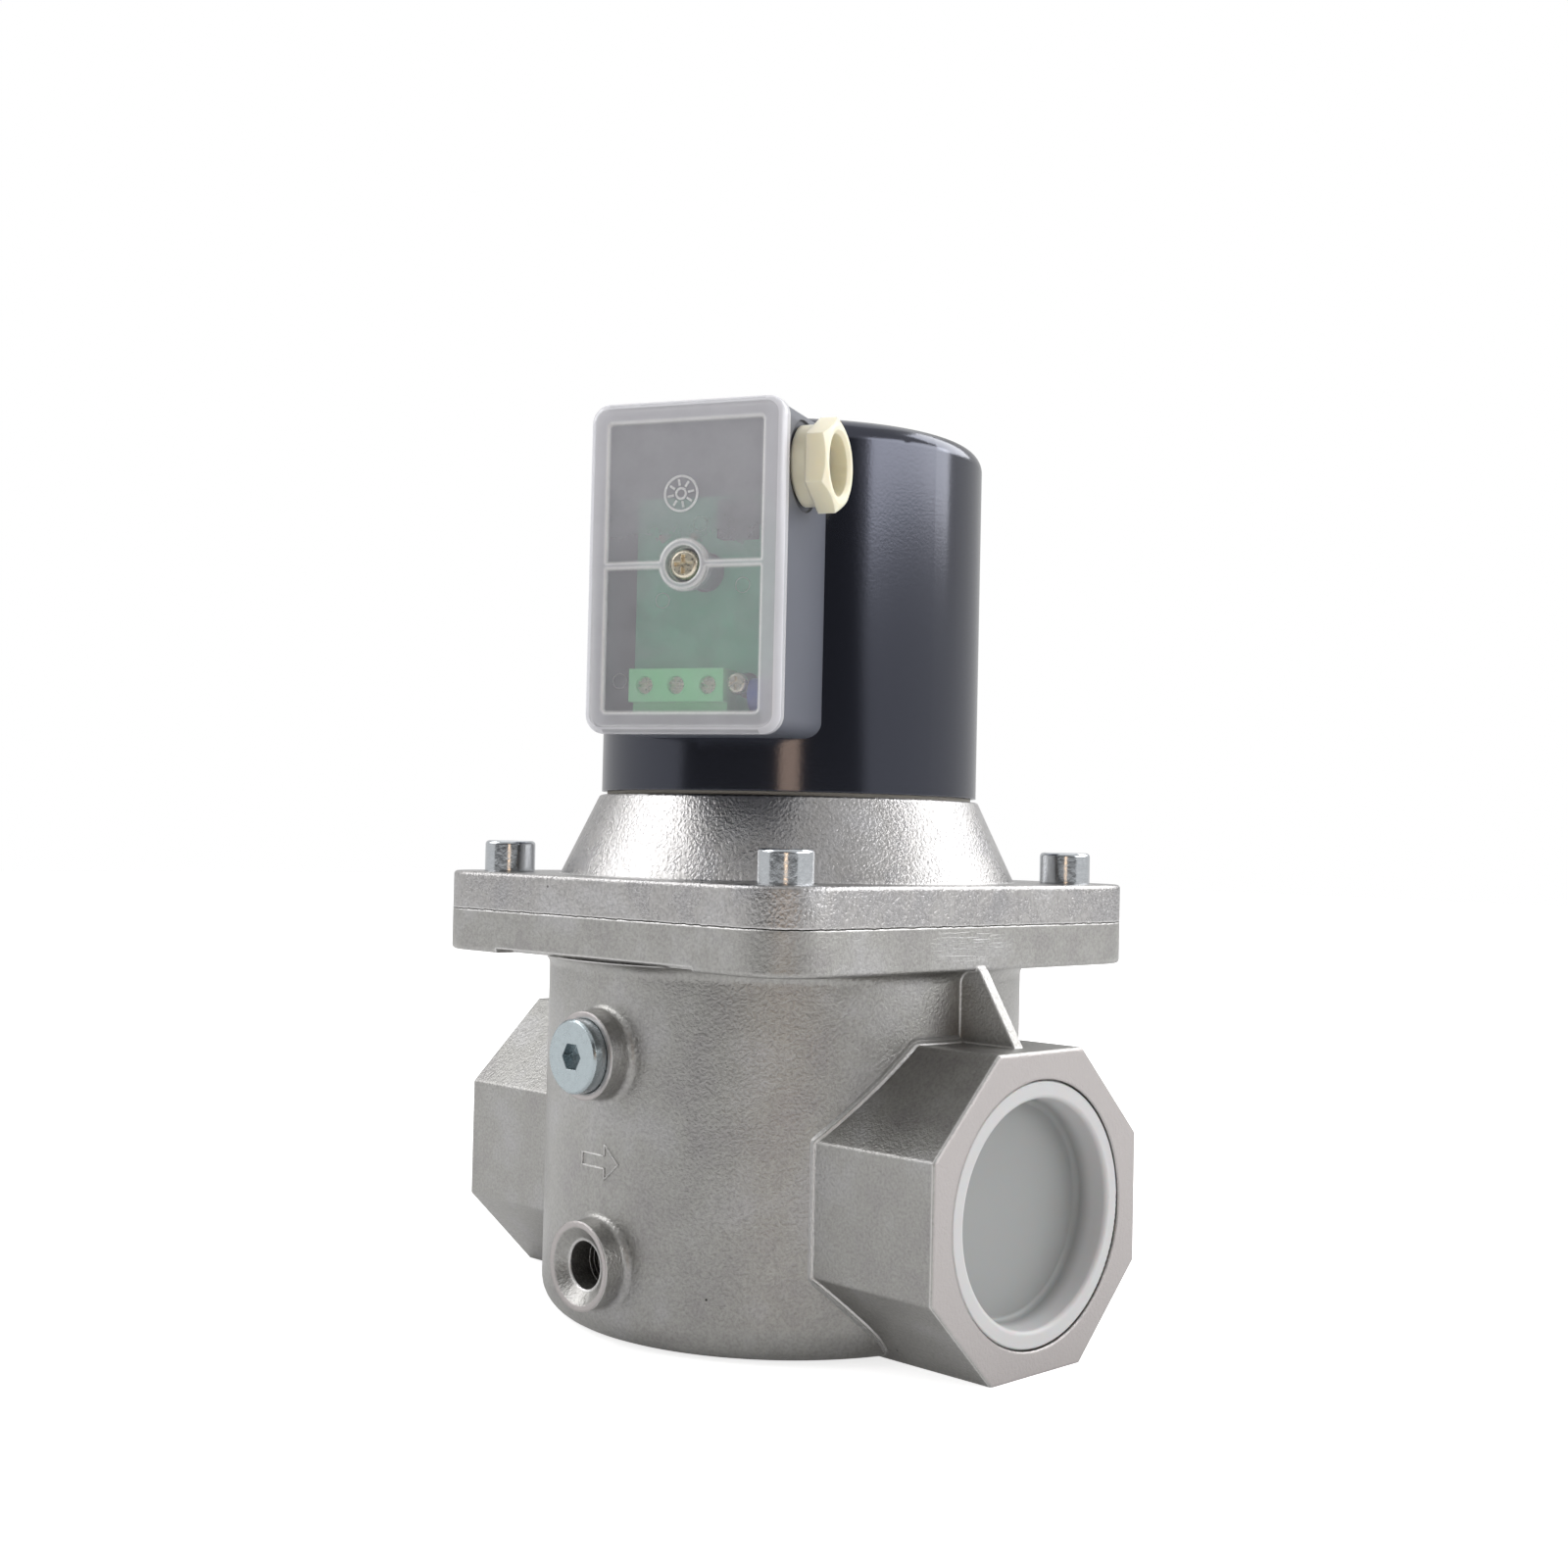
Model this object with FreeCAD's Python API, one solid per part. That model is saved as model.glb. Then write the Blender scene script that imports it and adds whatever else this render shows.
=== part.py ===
import FreeCAD, Part
import math
import os
from FreeCAD import Matrix, Vector

# Gas solenoid valve, normally closed, with threaded ports. Millimetres.
# The origin is the centre of the flat base, under the stem. +Z is up, gas flows towards +X,
# and the two test points face -Y.

# Clearances
thread_gap = 0.05
seat_gap = 0.1
slide_gap = 0.3
guide_gap = 0.06
bore_gap = 0.5

# How far a cutting shape runs past the face that it opens
over = 1.0

# Body casting
port_reach = 23.7
port_land = 6.5
port_axis_z = 36.5
port_edge_chamfer = 0.5
port_edge_round = 1.0
pipe_thread_radius = 28.33
port_bore_step = 1.33
pipe_thread_length = 24.0
mouth_recess_step = 2.67
mouth_recess_depth = 1.8
body_radius = 61.3
body_wall = 4.8
body_floor = 5.0
base_edge_radius = 9.0
casting_cove = 1.6
inner_wall = 4.5
side_wall_angle = 4.0
inlet_half_angle = 70.0
outlet_half_angle = 56.0
web_thickness = 3.0
web_rise = 17.0
web_foot = 7.0

# Flange
flange_margin = 4.95
flange_corner_radius = 15.3
body_flange_z = 91.2
body_flange_thickness = 10.7
flange_relief = 1.1
flange_relief_half = 37.0
flange_cove_radius = 3.2
edge_round = 1.0

# Valve seat
seat_bore_radius = 25.0
seat_plate_z = 41.0
seat_plate_thickness = 4.0
seat_lip_width = 3.5
seat_lip_height = 3.0
disc_passage = 9.5

# Test points
test_point_high_z = 69.0
test_point_low_z = 19.3
test_boss_land = 1.35
test_boss_rise = 5.7
test_thread_radius = 5.72
test_sink_step = 3.53
test_sink_depth = 2.2
plug_head_play = 0.4
plug_head_thickness = 3.7
plug_sink = 0.2
plug_shank_length = 9.0
plug_socket_flats = 6.0
plug_socket_depth = 3.2
plug_socket_turn = 30.0
plug_seal_thickness = 1.2

# Bonnet
bonnet_flange_thickness = 9.6
cone_base_inset = 2.1
cone_top_margin = 0.45
cone_height = 20.5
bonnet_wall = 6.0
spigot_height = 3.0
spigot_wall = 3.4
seal_groove_offset = 1.6
seal_width = 3.0
seal_height = 2.2

# Bonnet screws, M8
screw_inset = 14.7
screw_radius = 4.0
screw_length = 20.0
screw_head_radius = 6.5
screw_head_height = 8.0
screw_socket_flats = 6.0
screw_socket_depth = 4.0
screw_socket_turn = 15.0
screw_hole_radius = 4.5

# Outlet cap
cap_lip_play = 0.4
cap_lip_thickness = 1.5
cap_play = 0.23
cap_wall = 1.6
cap_depth = 9.0
cap_taper = 0.5
cap_mouth_round = 1.2
cap_floor_round = 1.5

# Inlet strainer, in a seat just behind the thread
strainer_step = 0.38
strainer_rim_length = 3.0
strainer_rim_width = 1.8
strainer_sheet = 0.8
strainer_hole_flats = 5.4
strainer_pitch = 6.6

# Plunger, stem and disc
valve_lift = 12.0
plunger_play = 0.36
plunger_bottom_z = 104.0
plunger_length = 52.0
plunger_stop_gap = 0.5
guide_ring_width = 4.0
guide_ring_depth = 1.0
guide_ring_inset = 5.0
guide_ring_low = 24.0
stem_radius = 5.0
stem_end_radius = 4.0
stem_engagement = 8.0
disc_overlap = 2.5
disc_thickness = 4.0
disc_hub_radius = 9.0
disc_hub_height = 4.0
disc_rim_play = 1.1
disc_rim_height = 1.6
disc_seal_thickness = 3.0
disc_washer_step = 6.0
disc_washer_thickness = 1.5
disc_nut_flats = 13.0
disc_nut_height = 6.0
stem_end_length = 1.5

# Closing spring
spring_mean_radius = 20.0
spring_wire_radius = 1.4
spring_turns = 5

# Armature tube and fixed core
tube_radius = 17.0
tube_wall = 1.44
nipple_radius = 22.0
collar_radius = 26.0
collar_thickness = 2.6
tube_seal_width = 2.0
tube_seal_height = 1.5
core_head_gap = 4.0
stud_radius = 8.0
stud_end_length = 0.4

# Coil
coil_radius = 48.95
coil_height = 90.2
coil_edge_radius = 5.0
coil_wall = 3.0
coil_top_wall = 4.0
base_ring_thickness = 0.9
base_ring_inset = 1.4
base_plate_thickness = 4.0
bobbin_wall = 1.7
bobbin_flange_inset = 4.95
bobbin_flange_thickness = 2.0
winding_inset = 6.95
washer_radius = 15.0
washer_thickness = 1.0
coil_nut_flats = 24.0
coil_nut_height = 5.0

# Terminal box, turned about the coil; its front plane is square to the radius
box_turn = 25.1
box_reach = 25.05
box_width = 48.2
box_height = 76.6
box_rise = 12.1
box_corner_radius = 4.5
box_wall = 2.0
cover_depth = 3.9
cover_wall = 1.7
cover_overhang = 0.5
cover_edge_radius = 2.0
cover_border = 4.8
cover_panel_sink = 0.6
cover_rib_width = 1.2
cover_boss_radius = 5.65
cover_screw_offset = 0.4
cover_screw_radius = 2.0
cover_screw_length = 12.0
cover_screw_head_radius = 3.4
cover_screw_head_height = 2.0
cover_screw_pocket_radius = 4.3
cover_screw_seat = 2.6
post_radius = 4.2
gasket_width = 1.0
gasket_height = 0.8

# Cable gland
gland_drop = 13.8
gland_sink = 15.5
gland_turn = 30.0
gland_flats_land = 2.5
gland_collar_radius = 9.4
gland_body_length = 3.5
gland_nut_length = 5.2
gland_chamfer = 2.2
gland_mouth_chamfer = 0.8
gland_shank_radius = 8.0
gland_wall = 0.85
gland_boss_wall = 2.0
gland_boss_length = 4.0
gland_pocket_play = 0.6
gland_pocket_depth = 0.8
cable_radius = 4.5
gland_seal_length = 5.0

# Circuit board and what stands on it
board_sink = 14.0
board_thickness = 1.6
board_left_margin = 4.0
board_right_margin = 3.1
board_bottom_margin = 2.3
board_top_margin = 20.2
board_rest_width = 2.0
board_rest_inset = 2.0
terminal_poles = 3
terminal_left_margin = 2.3
terminal_bottom_margin = 0.1
terminal_width = 10.5
terminal_earth_gap = 0.3
terminal_height = 8.2
terminal_step_depth = 2.6
terminal_step_height = 2.8
terminal_screw_radius = 2.0
terminal_screw_sink = 1.0
terminal_slot_width = 0.8
terminal_slot_depth = 1.0
terminal_floor = 1.2
terminal_entry_wall = 3.3
terminal_entry_height = 3.2
terminal_entry_depth = 3.0
earth_screw_inset = 7.3
earth_screw_rise = 7.2
earth_screw_radius = 2.4
earth_shank_radius = 1.5
earth_head_height = 1.8
earth_post_radius = 2.5
earth_post_rise = 5.6
earth_screw_length = 8.0
rectifier_side = 9.0
rectifier_height = 4.0
rectifier_share = 0.5488
rectifier_drop = 5.9
varistor_radius = 4.0
varistor_thickness = 3.6
varistor_inset = 2.5
varistor_rise = 4.5
coil_pin_radius = 0.8
coil_pin_spacing = 8.0
coil_pin_inset = 10.6
coil_pin_rise = 8.3
coil_pin_hole_radius = 2.4
coil_pin_proud = 1.0
box_screw_radius = 2.0
box_screw_head_radius = 3.4
box_screw_head_height = 2.2
box_screw_low_rise = 12.0
box_screw_high_drop = 11.6

# Cross slot and rounding of the pan-head screws, as shares of the head
slot_share_length = 1.3
slot_share_width = 0.3
slot_share_depth = 0.6
pan_share_round = 0.45

# Levels that follow from the sizes above
port_face_x = body_radius + port_reach
port_bore_radius = pipe_thread_radius - port_bore_step
mouth_recess_radius = pipe_thread_radius + mouth_recess_step
port_flats = 2 * (mouth_recess_radius + port_land)
strainer_radius = pipe_thread_radius - strainer_step
cap_radius = pipe_thread_radius - cap_play
cap_lip_radius = mouth_recess_radius - cap_lip_play
test_sink_radius = test_thread_radius + test_sink_step
test_boss_radius = test_sink_radius + test_boss_land
plug_head_radius = test_sink_radius - plug_head_play
flange_side = 2 * (body_radius + flange_margin)
screw_spacing = flange_side - 2 * screw_inset
test_boss_reach = body_radius + test_boss_rise
cone_base_radius = body_radius - cone_base_inset
cone_top_radius = coil_radius + cone_top_margin
port_top_z = port_axis_z + port_flats / 2
cavity_radius = body_radius - body_wall
seat_top_z = seat_plate_z + seat_plate_thickness
seat_lip_z = seat_top_z + seat_lip_height
split_z = body_flange_z + body_flange_thickness
bonnet_flange_top_z = split_z + bonnet_flange_thickness
bonnet_top_z = bonnet_flange_top_z + cone_height
thread_shoulder_x = port_face_x - pipe_thread_length
strainer_seat_x = thread_shoulder_x - strainer_rim_length
disc_seal_top_z = seat_lip_z + disc_seal_thickness
disc_top_z = disc_seal_top_z + disc_thickness
hub_top_z = disc_top_z + disc_hub_height
disc_washer_z = seat_lip_z - disc_washer_thickness
disc_nut_z = disc_washer_z - disc_nut_height
collar_z = bonnet_top_z - bonnet_wall - collar_thickness
tube_bore_radius = tube_radius - tube_wall
plunger_radius = tube_bore_radius - plunger_play
plunger_top_z = plunger_bottom_z + plunger_length
disc_radius = seat_bore_radius + seat_lip_width + disc_overlap
disc_washer_radius = seat_bore_radius - disc_washer_step
disc_rim_radius = spring_mean_radius - spring_wire_radius - disc_rim_play
crescent_radius = disc_radius + disc_passage
core_z = plunger_top_z + valve_lift + plunger_stop_gap
coil_z = bonnet_top_z + base_ring_thickness
coil_top_z = coil_z + coil_height
winding_floor_z = coil_z + base_plate_thickness
winding_roof_z = coil_top_z - coil_top_wall
core_top_z = winding_roof_z - core_head_gap
bobbin_bore_radius = tube_radius + slide_gap
coil_nut_z = coil_top_z + washer_thickness
stud_top_z = coil_nut_z + coil_nut_height + stud_end_length
winding_radius = coil_radius - winding_inset
bobbin_flange_radius = coil_radius - bobbin_flange_inset
box_front = coil_radius + box_reach
board_front = box_front - board_sink
gland_reach = box_front - gland_sink
earth_post_reach = board_front + earth_post_rise
gland_hole_radius = gland_shank_radius - gland_wall
gland_boss_radius = gland_shank_radius + gland_boss_wall
gland_pocket_radius = gland_boss_radius + gland_pocket_play
gland_flats = 2 * (gland_hole_radius + gland_flats_land)
cover_back = box_front - cover_depth
box_back_radius = coil_radius + seat_gap
box_half = box_width / 2 - cover_overhang
box_bottom_z = coil_z + box_rise
box_top_z = box_bottom_z + box_height
box_middle_z = box_bottom_z + box_height / 2
box_screw_low_z = box_bottom_z + box_screw_low_rise
box_screw_high_z = box_top_z - box_screw_high_drop
gland_z = box_top_z - gland_drop
gland_nut_start = box_half + gland_body_length
gland_boss_start = box_half - box_wall - gland_boss_length
board_back = board_front - board_thickness
board_left = -box_half + box_wall + board_left_margin
board_right = box_half - box_wall - board_right_margin
board_bottom_z = box_bottom_z + cover_overhang + box_wall + board_bottom_margin
board_top_z = box_top_z - board_top_margin
earth_screw_u = board_right - earth_screw_inset
earth_screw_z = board_bottom_z + earth_screw_rise
rectifier_z = board_top_z - rectifier_drop
varistor_u = board_right - varistor_inset
varistor_z = board_bottom_z + varistor_rise
coil_pin_middle = board_left + coil_pin_inset
coil_pin_right = coil_pin_middle + coil_pin_spacing / 2
rectifier_u = coil_pin_right + rectifier_share * (board_right - coil_pin_right)
terminal_left = board_left + terminal_left_margin
terminal_right = earth_screw_u - earth_post_radius - terminal_earth_gap
terminal_pitch = (terminal_right - terminal_left) / terminal_poles
terminal_bottom_z = board_bottom_z + terminal_bottom_margin
terminal_top_z = terminal_bottom_z + terminal_width
cover_screw_z = box_middle_z + cover_screw_offset
coil_pin_z = cover_screw_z + coil_pin_rise
cover_screw_base = box_front - cover_screw_seat
cover_post_top = cover_screw_base - cover_wall


# Basic forms

def disc(radius, low, high):
    return Part.makeCylinder(radius, high - low, Vector(0, 0, low))


def ring(outer, inner, low, high):
    return solid_of(disc(outer, low, high).cut(disc(inner, low, high)))


def sector(radius, start, end, low, high):
    wedge = Part.makeCylinder(radius, high - low, Vector(0, 0, low), Vector(0, 0, 1), end - start)
    wedge.rotate(Vector(0, 0, 0), Vector(0, 0, 1), start)
    return wedge


def turned(outline):
    """Solid of revolution about Z from (radius, height) corners."""
    points = [Vector(radius, 0, height) for radius, height in outline]
    face = Part.Face(Part.makePolygon(points + points[:1]))
    return face.revolve(Vector(0, 0, 0), Vector(0, 0, 1), 360)


def polygon_prism(sides, flats, low, high, turn=0.0):
    """Upright prism with the given width across flats; turn 0 puts a flat square to X."""
    corner = flats / 2 / math.cos(math.pi / sides)
    angles = [math.radians(turn) + math.pi * (2 * step + 1) / sides for step in range(sides)]
    points = [Vector(corner * math.cos(a), corner * math.sin(a), low) for a in angles]
    face = Part.Face(Part.makePolygon(points + points[:1]))
    return face.extrude(Vector(0, 0, high - low))


def rounded_slab(width, depth, radius, low, high):
    """Upright block centred on Z with rounded vertical edges."""
    block = Part.makeBox(width, depth, high - low, Vector(-width / 2, -depth / 2, low))
    upright = [edge for edge in block.Edges if abs(edge.BoundBox.ZLength - (high - low)) < 1e-6]
    return block.makeFillet(radius, upright)


def edges_at(shape, level, tolerance=1e-4):
    """Edges that lie wholly in the plane z = level."""
    return [e for e in shape.Edges if abs(e.BoundBox.ZMin - level) < tolerance
            and abs(e.BoundBox.ZMax - level) < tolerance]


def aimed(shape, direction, origin):
    """Moves a piece drawn along +Z so that it points along direction from origin."""
    moved = shape.copy()
    turn = FreeCAD.Rotation(Vector(0, 0, 1), direction)
    moved.Placement = FreeCAD.Placement(origin, turn).multiply(moved.Placement)
    return moved


def joined(shapes):
    return shapes[0].fuse(shapes[1:]).removeSplitter()


def solid_of(shape):
    return shape.Solids[0]


# Frame of the terminal box: u runs along its width, h is the height, v points outwards

turn_angle = math.radians(box_turn)
box_out = Vector(math.sin(turn_angle), -math.cos(turn_angle), 0)
box_across = Vector(math.cos(turn_angle), math.sin(turn_angle), 0)
box_matrix = Matrix(box_across.x, 0, box_out.x, 0,
                    box_across.y, 0, box_out.y, 0,
                    0, 1, 0, 0,
                    0, 0, 0, 1)


def in_box(shape):
    """Places a piece drawn with x = u, y = h and z = v."""
    return shape.transformed(box_matrix)


def box_point(across, height, out):
    return box_across * across + box_out * out + Vector(0, 0, height)


def box_block(left, right, bottom, top, back, front):
    corner = Vector(left, bottom, back)
    return in_box(Part.makeBox(right - left, top - bottom, front - back, corner))


def box_slab(width, height, radius, middle, back, front):
    slab = rounded_slab(width, height, radius, back, front)
    slab.translate(Vector(0, middle, 0))
    return slab


def box_pin(radius, across, height, back, front):
    pin = Part.makeCylinder(radius, front - back, Vector(across, height, back))
    return in_box(pin)


# Body

def port_block():
    """Both octagonal port hubs in one bar, cut flat at the base."""
    bar = polygon_prism(8, port_flats, -port_face_x, port_face_x)
    bar = bar.makeFillet(port_edge_round, [edge for edge in bar.Edges if edge.Length > port_face_x])
    ends = edges_at(bar, -port_face_x) + edges_at(bar, port_face_x)
    bar = aimed(bar.makeChamfer(port_edge_chamfer, ends), Vector(1, 0, 0), Vector(0, 0, port_axis_z))
    below = Part.makeBox(4 * port_face_x, 2 * port_flats, port_flats)
    below.translate(Vector(-2 * port_face_x, -port_flats, -port_flats))
    return bar.cut(below)


def body_barrel():
    barrel = disc(body_radius, 0, body_flange_z + edge_round)
    return barrel.makeFillet(base_edge_radius, edges_at(barrel, 0))


def flange_cove():
    """Concave fillet between the barrel and the flange."""
    radius = flange_cove_radius
    low = body_flange_z - radius
    start = Vector(body_radius, 0, low)
    end = Vector(body_radius + radius, 0, body_flange_z)
    middle_reach = radius * (1 - math.sqrt(0.5))
    middle = Vector(body_radius + middle_reach, 0, body_flange_z - middle_reach)
    inside = [Vector(body_radius - over, 0, body_flange_z), Vector(body_radius - over, 0, low)]
    edges = [Part.Arc(start, middle, end).toShape()]
    edges.append(Part.makeLine(end, inside[0]))
    edges.append(Part.makeLine(inside[0], inside[1]))
    edges.append(Part.makeLine(inside[1], start))
    return Part.Face(Part.Wire(edges)).revolve(Vector(0, 0, 0), Vector(0, 0, 1), 360)


def body_flange():
    plate = rounded_slab(flange_side, flange_side, flange_corner_radius, body_flange_z, split_z)
    plate = plate.makeFillet(edge_round, edges_at(plate, body_flange_z))
    for side in (-1, 1):
        relief = Part.makeBox(2 * flange_relief_half, flange_side, flange_relief)
        reach = side * (body_radius - edge_round + flange_side / 2)
        relief.translate(Vector(-flange_relief_half, reach - flange_side / 2, body_flange_z))
        plate = plate.cut(relief)
    return plate


def port_web(side):
    """Thin rib from the flange down to the top of a port."""
    root_x = cavity_radius + over
    top_x = flange_side / 2 + edge_round
    outline = [Vector(root_x, 0, port_top_z - over), Vector(root_x, 0, body_flange_z + over)]
    outline.append(Vector(top_x - over, 0, body_flange_z + over))
    outline.append(Vector(top_x, 0, body_flange_z))
    outline.append(Vector(port_face_x - web_foot, 0, body_flange_z - web_rise))
    outline.append(Vector(port_face_x - web_foot, 0, port_top_z - over))
    face = Part.Face(Part.makePolygon(outline + outline[:1]))
    web = face.extrude(Vector(0, web_thickness, 0))
    web.translate(Vector(0, -web_thickness / 2, 0))
    if side < 0:
        web.rotate(Vector(0, 0, 0), Vector(0, 0, 1), 180)
    return web


def test_boss(height):
    """Round boss on the -Y side."""
    boss = disc(test_boss_radius, 0, test_boss_reach - cavity_radius - over)
    return aimed(boss, Vector(0, -1, 0), Vector(0, -cavity_radius - over, height))


def test_hole(height):
    """Threaded hole with its countersink, from the boss face into the chamber."""
    slope = (test_sink_radius - test_thread_radius - bore_gap) / test_sink_depth
    length = test_boss_reach - cavity_radius + over
    mouth = test_sink_radius + slope
    hole = turned([(0, -length), (test_thread_radius, -length), (test_thread_radius, -test_sink_depth),
                   (test_thread_radius + bore_gap, -test_sink_depth), (mouth, over), (0, over)])
    return aimed(hole, Vector(0, -1, 0), Vector(0, -test_boss_reach, height))


def outlet_chamber():
    """Space below the seat, with the crescent that rises behind the outlet."""
    turn = 180 - inlet_half_angle - side_wall_angle
    inner = crescent_radius - inner_wall
    core = disc(inner, body_floor, seat_plate_z)
    floor = sector(cavity_radius, -turn, turn, body_floor, seat_plate_z)
    roof = port_axis_z + port_bore_radius + over
    crescent = sector(cavity_radius, -outlet_half_angle, outlet_half_angle, body_floor, roof)
    crescent = crescent.cut(disc(crescent_radius + inner_wall, body_floor, roof))
    return joined([core, floor, crescent])


def inlet_chamber():
    """Space round and above the disc, with the crescent that drops behind the inlet."""
    top = split_z + over
    middle = disc(crescent_radius, seat_top_z, top)
    edge = outlet_half_angle + side_wall_angle
    sides = sector(cavity_radius, edge, 360 - edge, seat_top_z, top)
    above = disc(cavity_radius, port_axis_z + port_bore_radius + over + inner_wall, top)
    low = sector(cavity_radius, 180 - inlet_half_angle, 180 + inlet_half_angle, body_floor, seat_top_z + over)
    low = low.cut(disc(crescent_radius, body_floor, seat_top_z + over))
    return joined([middle, sides, above, low])


def port_bore(side):
    """Bore, pipe thread and shallow mouth recess, along X."""
    depth = math.sqrt(cavity_radius ** 2 - port_bore_radius ** 2) - over
    recess_x = port_face_x - mouth_recess_depth
    bore = turned([(0, depth), (port_bore_radius, depth), (port_bore_radius, strainer_seat_x),
                   (strainer_radius + thread_gap, strainer_seat_x),
                   (strainer_radius + thread_gap, thread_shoulder_x),
                   (pipe_thread_radius, thread_shoulder_x), (pipe_thread_radius, recess_x),
                   (mouth_recess_radius, recess_x), (mouth_recess_radius, port_face_x + over),
                   (0, port_face_x + over)])
    return aimed(bore, Vector(side, 0, 0), Vector(0, 0, port_axis_z))


def screw_places():
    half = screw_spacing / 2
    return [Vector(x * half, y * half, 0) for x, y in ((1, -1), (1, 1), (-1, 1), (-1, -1))]


def barrel_with_bosses():
    """Barrel and test bosses, with a cove where each boss grows out of the wall."""
    shape = joined([body_barrel(), test_boss(test_point_high_z), test_boss(test_point_low_z)])
    roots = []
    for edge in shape.Edges:
        reach = max(point.distanceToPoint(Vector(0, 0, point.z)) for point in edge.discretize(7))
        box = edge.BoundBox
        if box.YMax < 0 and box.XLength < 2 * test_boss_radius + over and box.ZLength > edge_round \
                and reach < body_radius + over / 2:
            roots.append(edge)
    return shape.makeFillet(casting_cove, roots)


def valve_body():
    body = joined([barrel_with_bosses(), port_block(), body_flange(), flange_cove(), port_web(1), port_web(-1)])
    body = body.cut([outlet_chamber(), inlet_chamber()])
    lip = disc(seat_bore_radius + seat_lip_width, seat_top_z, seat_lip_z)
    body = body.fuse(lip).cut(disc(seat_bore_radius, seat_plate_z - over, seat_lip_z + over))
    body = body.cut([port_bore(1), port_bore(-1), test_hole(test_point_high_z), test_hole(test_point_low_z)])
    groove_in = cavity_radius + seal_groove_offset
    groove = ring(groove_in + seal_width + 2 * seat_gap, groove_in, split_z - seal_height, split_z + over)
    holes = [disc(screw_radius + thread_gap, body_flange_z - over, split_z + over) for place in screw_places()]
    for hole, place in zip(holes, screw_places()):
        hole.translate(place)
    return solid_of(body.cut([groove] + holes).removeSplitter())


# Bonnet

def bonnet():
    plate = rounded_slab(flange_side, flange_side, flange_corner_radius, split_z, bonnet_flange_top_z)
    plate = plate.makeFillet(edge_round, edges_at(plate, bonnet_flange_top_z))
    cone = turned([(0, bonnet_flange_top_z - over), (cone_base_radius, bonnet_flange_top_z - over),
                   (cone_base_radius, bonnet_flange_top_z), (cone_top_radius, bonnet_top_z),
                   (0, bonnet_top_z)])
    cone = cone.makeFillet(edge_round, edges_at(cone, bonnet_top_z))
    spigot_radius = cavity_radius - seat_gap
    hollow_radius = spigot_radius - spigot_wall
    spigot = disc(spigot_radius, split_z - spigot_height, split_z)
    roof = bonnet_top_z - bonnet_wall
    hollow = turned([(0, split_z - spigot_height - over), (hollow_radius, split_z - spigot_height - over),
                     (hollow_radius, bonnet_flange_top_z - edge_round),
                     (cone_top_radius - bonnet_wall, roof), (0, roof)])
    shape = joined([plate, cone, spigot]).cut(hollow)
    shape = shape.cut(disc(nipple_radius + thread_gap, roof - over, bonnet_top_z + over))
    for place in screw_places():
        hole = disc(screw_hole_radius, split_z - over, bonnet_flange_top_z + over)
        hole.translate(place)
        shape = shape.cut(hole)
    return solid_of(shape.removeSplitter())


def bonnet_seal():
    inner = cavity_radius + seal_groove_offset + seat_gap
    return ring(inner + seal_width, inner, split_z - seal_height, split_z)


def socket_screw(place):
    """Socket-head screw that clamps the bonnet flange."""
    seat = bonnet_flange_top_z
    top = seat + screw_head_height
    head = disc(screw_head_radius, seat, top)
    head = head.makeFillet(edge_round, edges_at(head, top))
    shank = disc(screw_radius, seat - screw_length, seat)
    socket = polygon_prism(6, screw_socket_flats, top - screw_socket_depth, top + over,
                           screw_socket_turn)
    screw = joined([head, shank]).cut(socket)
    screw.translate(place)
    return solid_of(screw)


# Test plug, outlet cap and strainer

def test_plug():
    head_low = -plug_sink
    head_top = head_low + plug_head_thickness
    head = disc(plug_head_radius, head_low, head_top)
    head = head.makeChamfer(edge_round / 2, edges_at(head, head_top))
    shank = disc(test_thread_radius - thread_gap, head_low - plug_shank_length, head_low)
    socket = polygon_prism(6, plug_socket_flats, head_top - plug_socket_depth, head_top + over,
                           plug_socket_turn)
    plug = joined([head, shank]).cut(socket)
    return solid_of(aimed(plug, Vector(0, -1, 0), Vector(0, -test_boss_reach, test_point_high_z)))


def test_plug_seal():
    """Soft ring that fills the countersink under the plug head."""
    slope = (test_sink_radius - test_thread_radius - bore_gap) / test_sink_depth
    low = -plug_sink - plug_seal_thickness
    bore = test_thread_radius + thread_gap
    seal = turned([(bore, low), (test_sink_radius + slope * low - seat_gap, low),
                   (test_sink_radius - slope * plug_sink - seat_gap, -plug_sink), (bore, -plug_sink)])
    return solid_of(aimed(seal, Vector(0, -1, 0), Vector(0, -test_boss_reach, test_point_high_z)))


def outlet_cap():
    """Thin moulded cup that closes the outlet thread until the pipe is fitted."""
    seat = -mouth_recess_depth
    top = seat + cap_lip_thickness
    floor = top - cap_depth
    inside = cap_radius - cap_wall
    cup = turned([(0, floor - cap_wall), (cap_radius - cap_taper, floor - cap_wall), (cap_radius, seat),
                  (cap_lip_radius, seat), (cap_lip_radius, top), (inside, top),
                  (inside - cap_taper, floor), (0, floor)])
    rim = edges_at(cup, top)
    cup = cup.makeFillet(cap_lip_thickness / 3, [edge for edge in rim if edge.Curve.Radius > cap_radius])
    cup = cup.makeFillet(cap_mouth_round, [edge for edge in edges_at(cup, top) if edge.Curve.Radius < cap_radius])
    cup = cup.makeFillet(cap_floor_round, edges_at(cup, floor))
    return solid_of(aimed(cup, Vector(1, 0, 0), Vector(port_face_x, 0, port_axis_z)))


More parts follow.
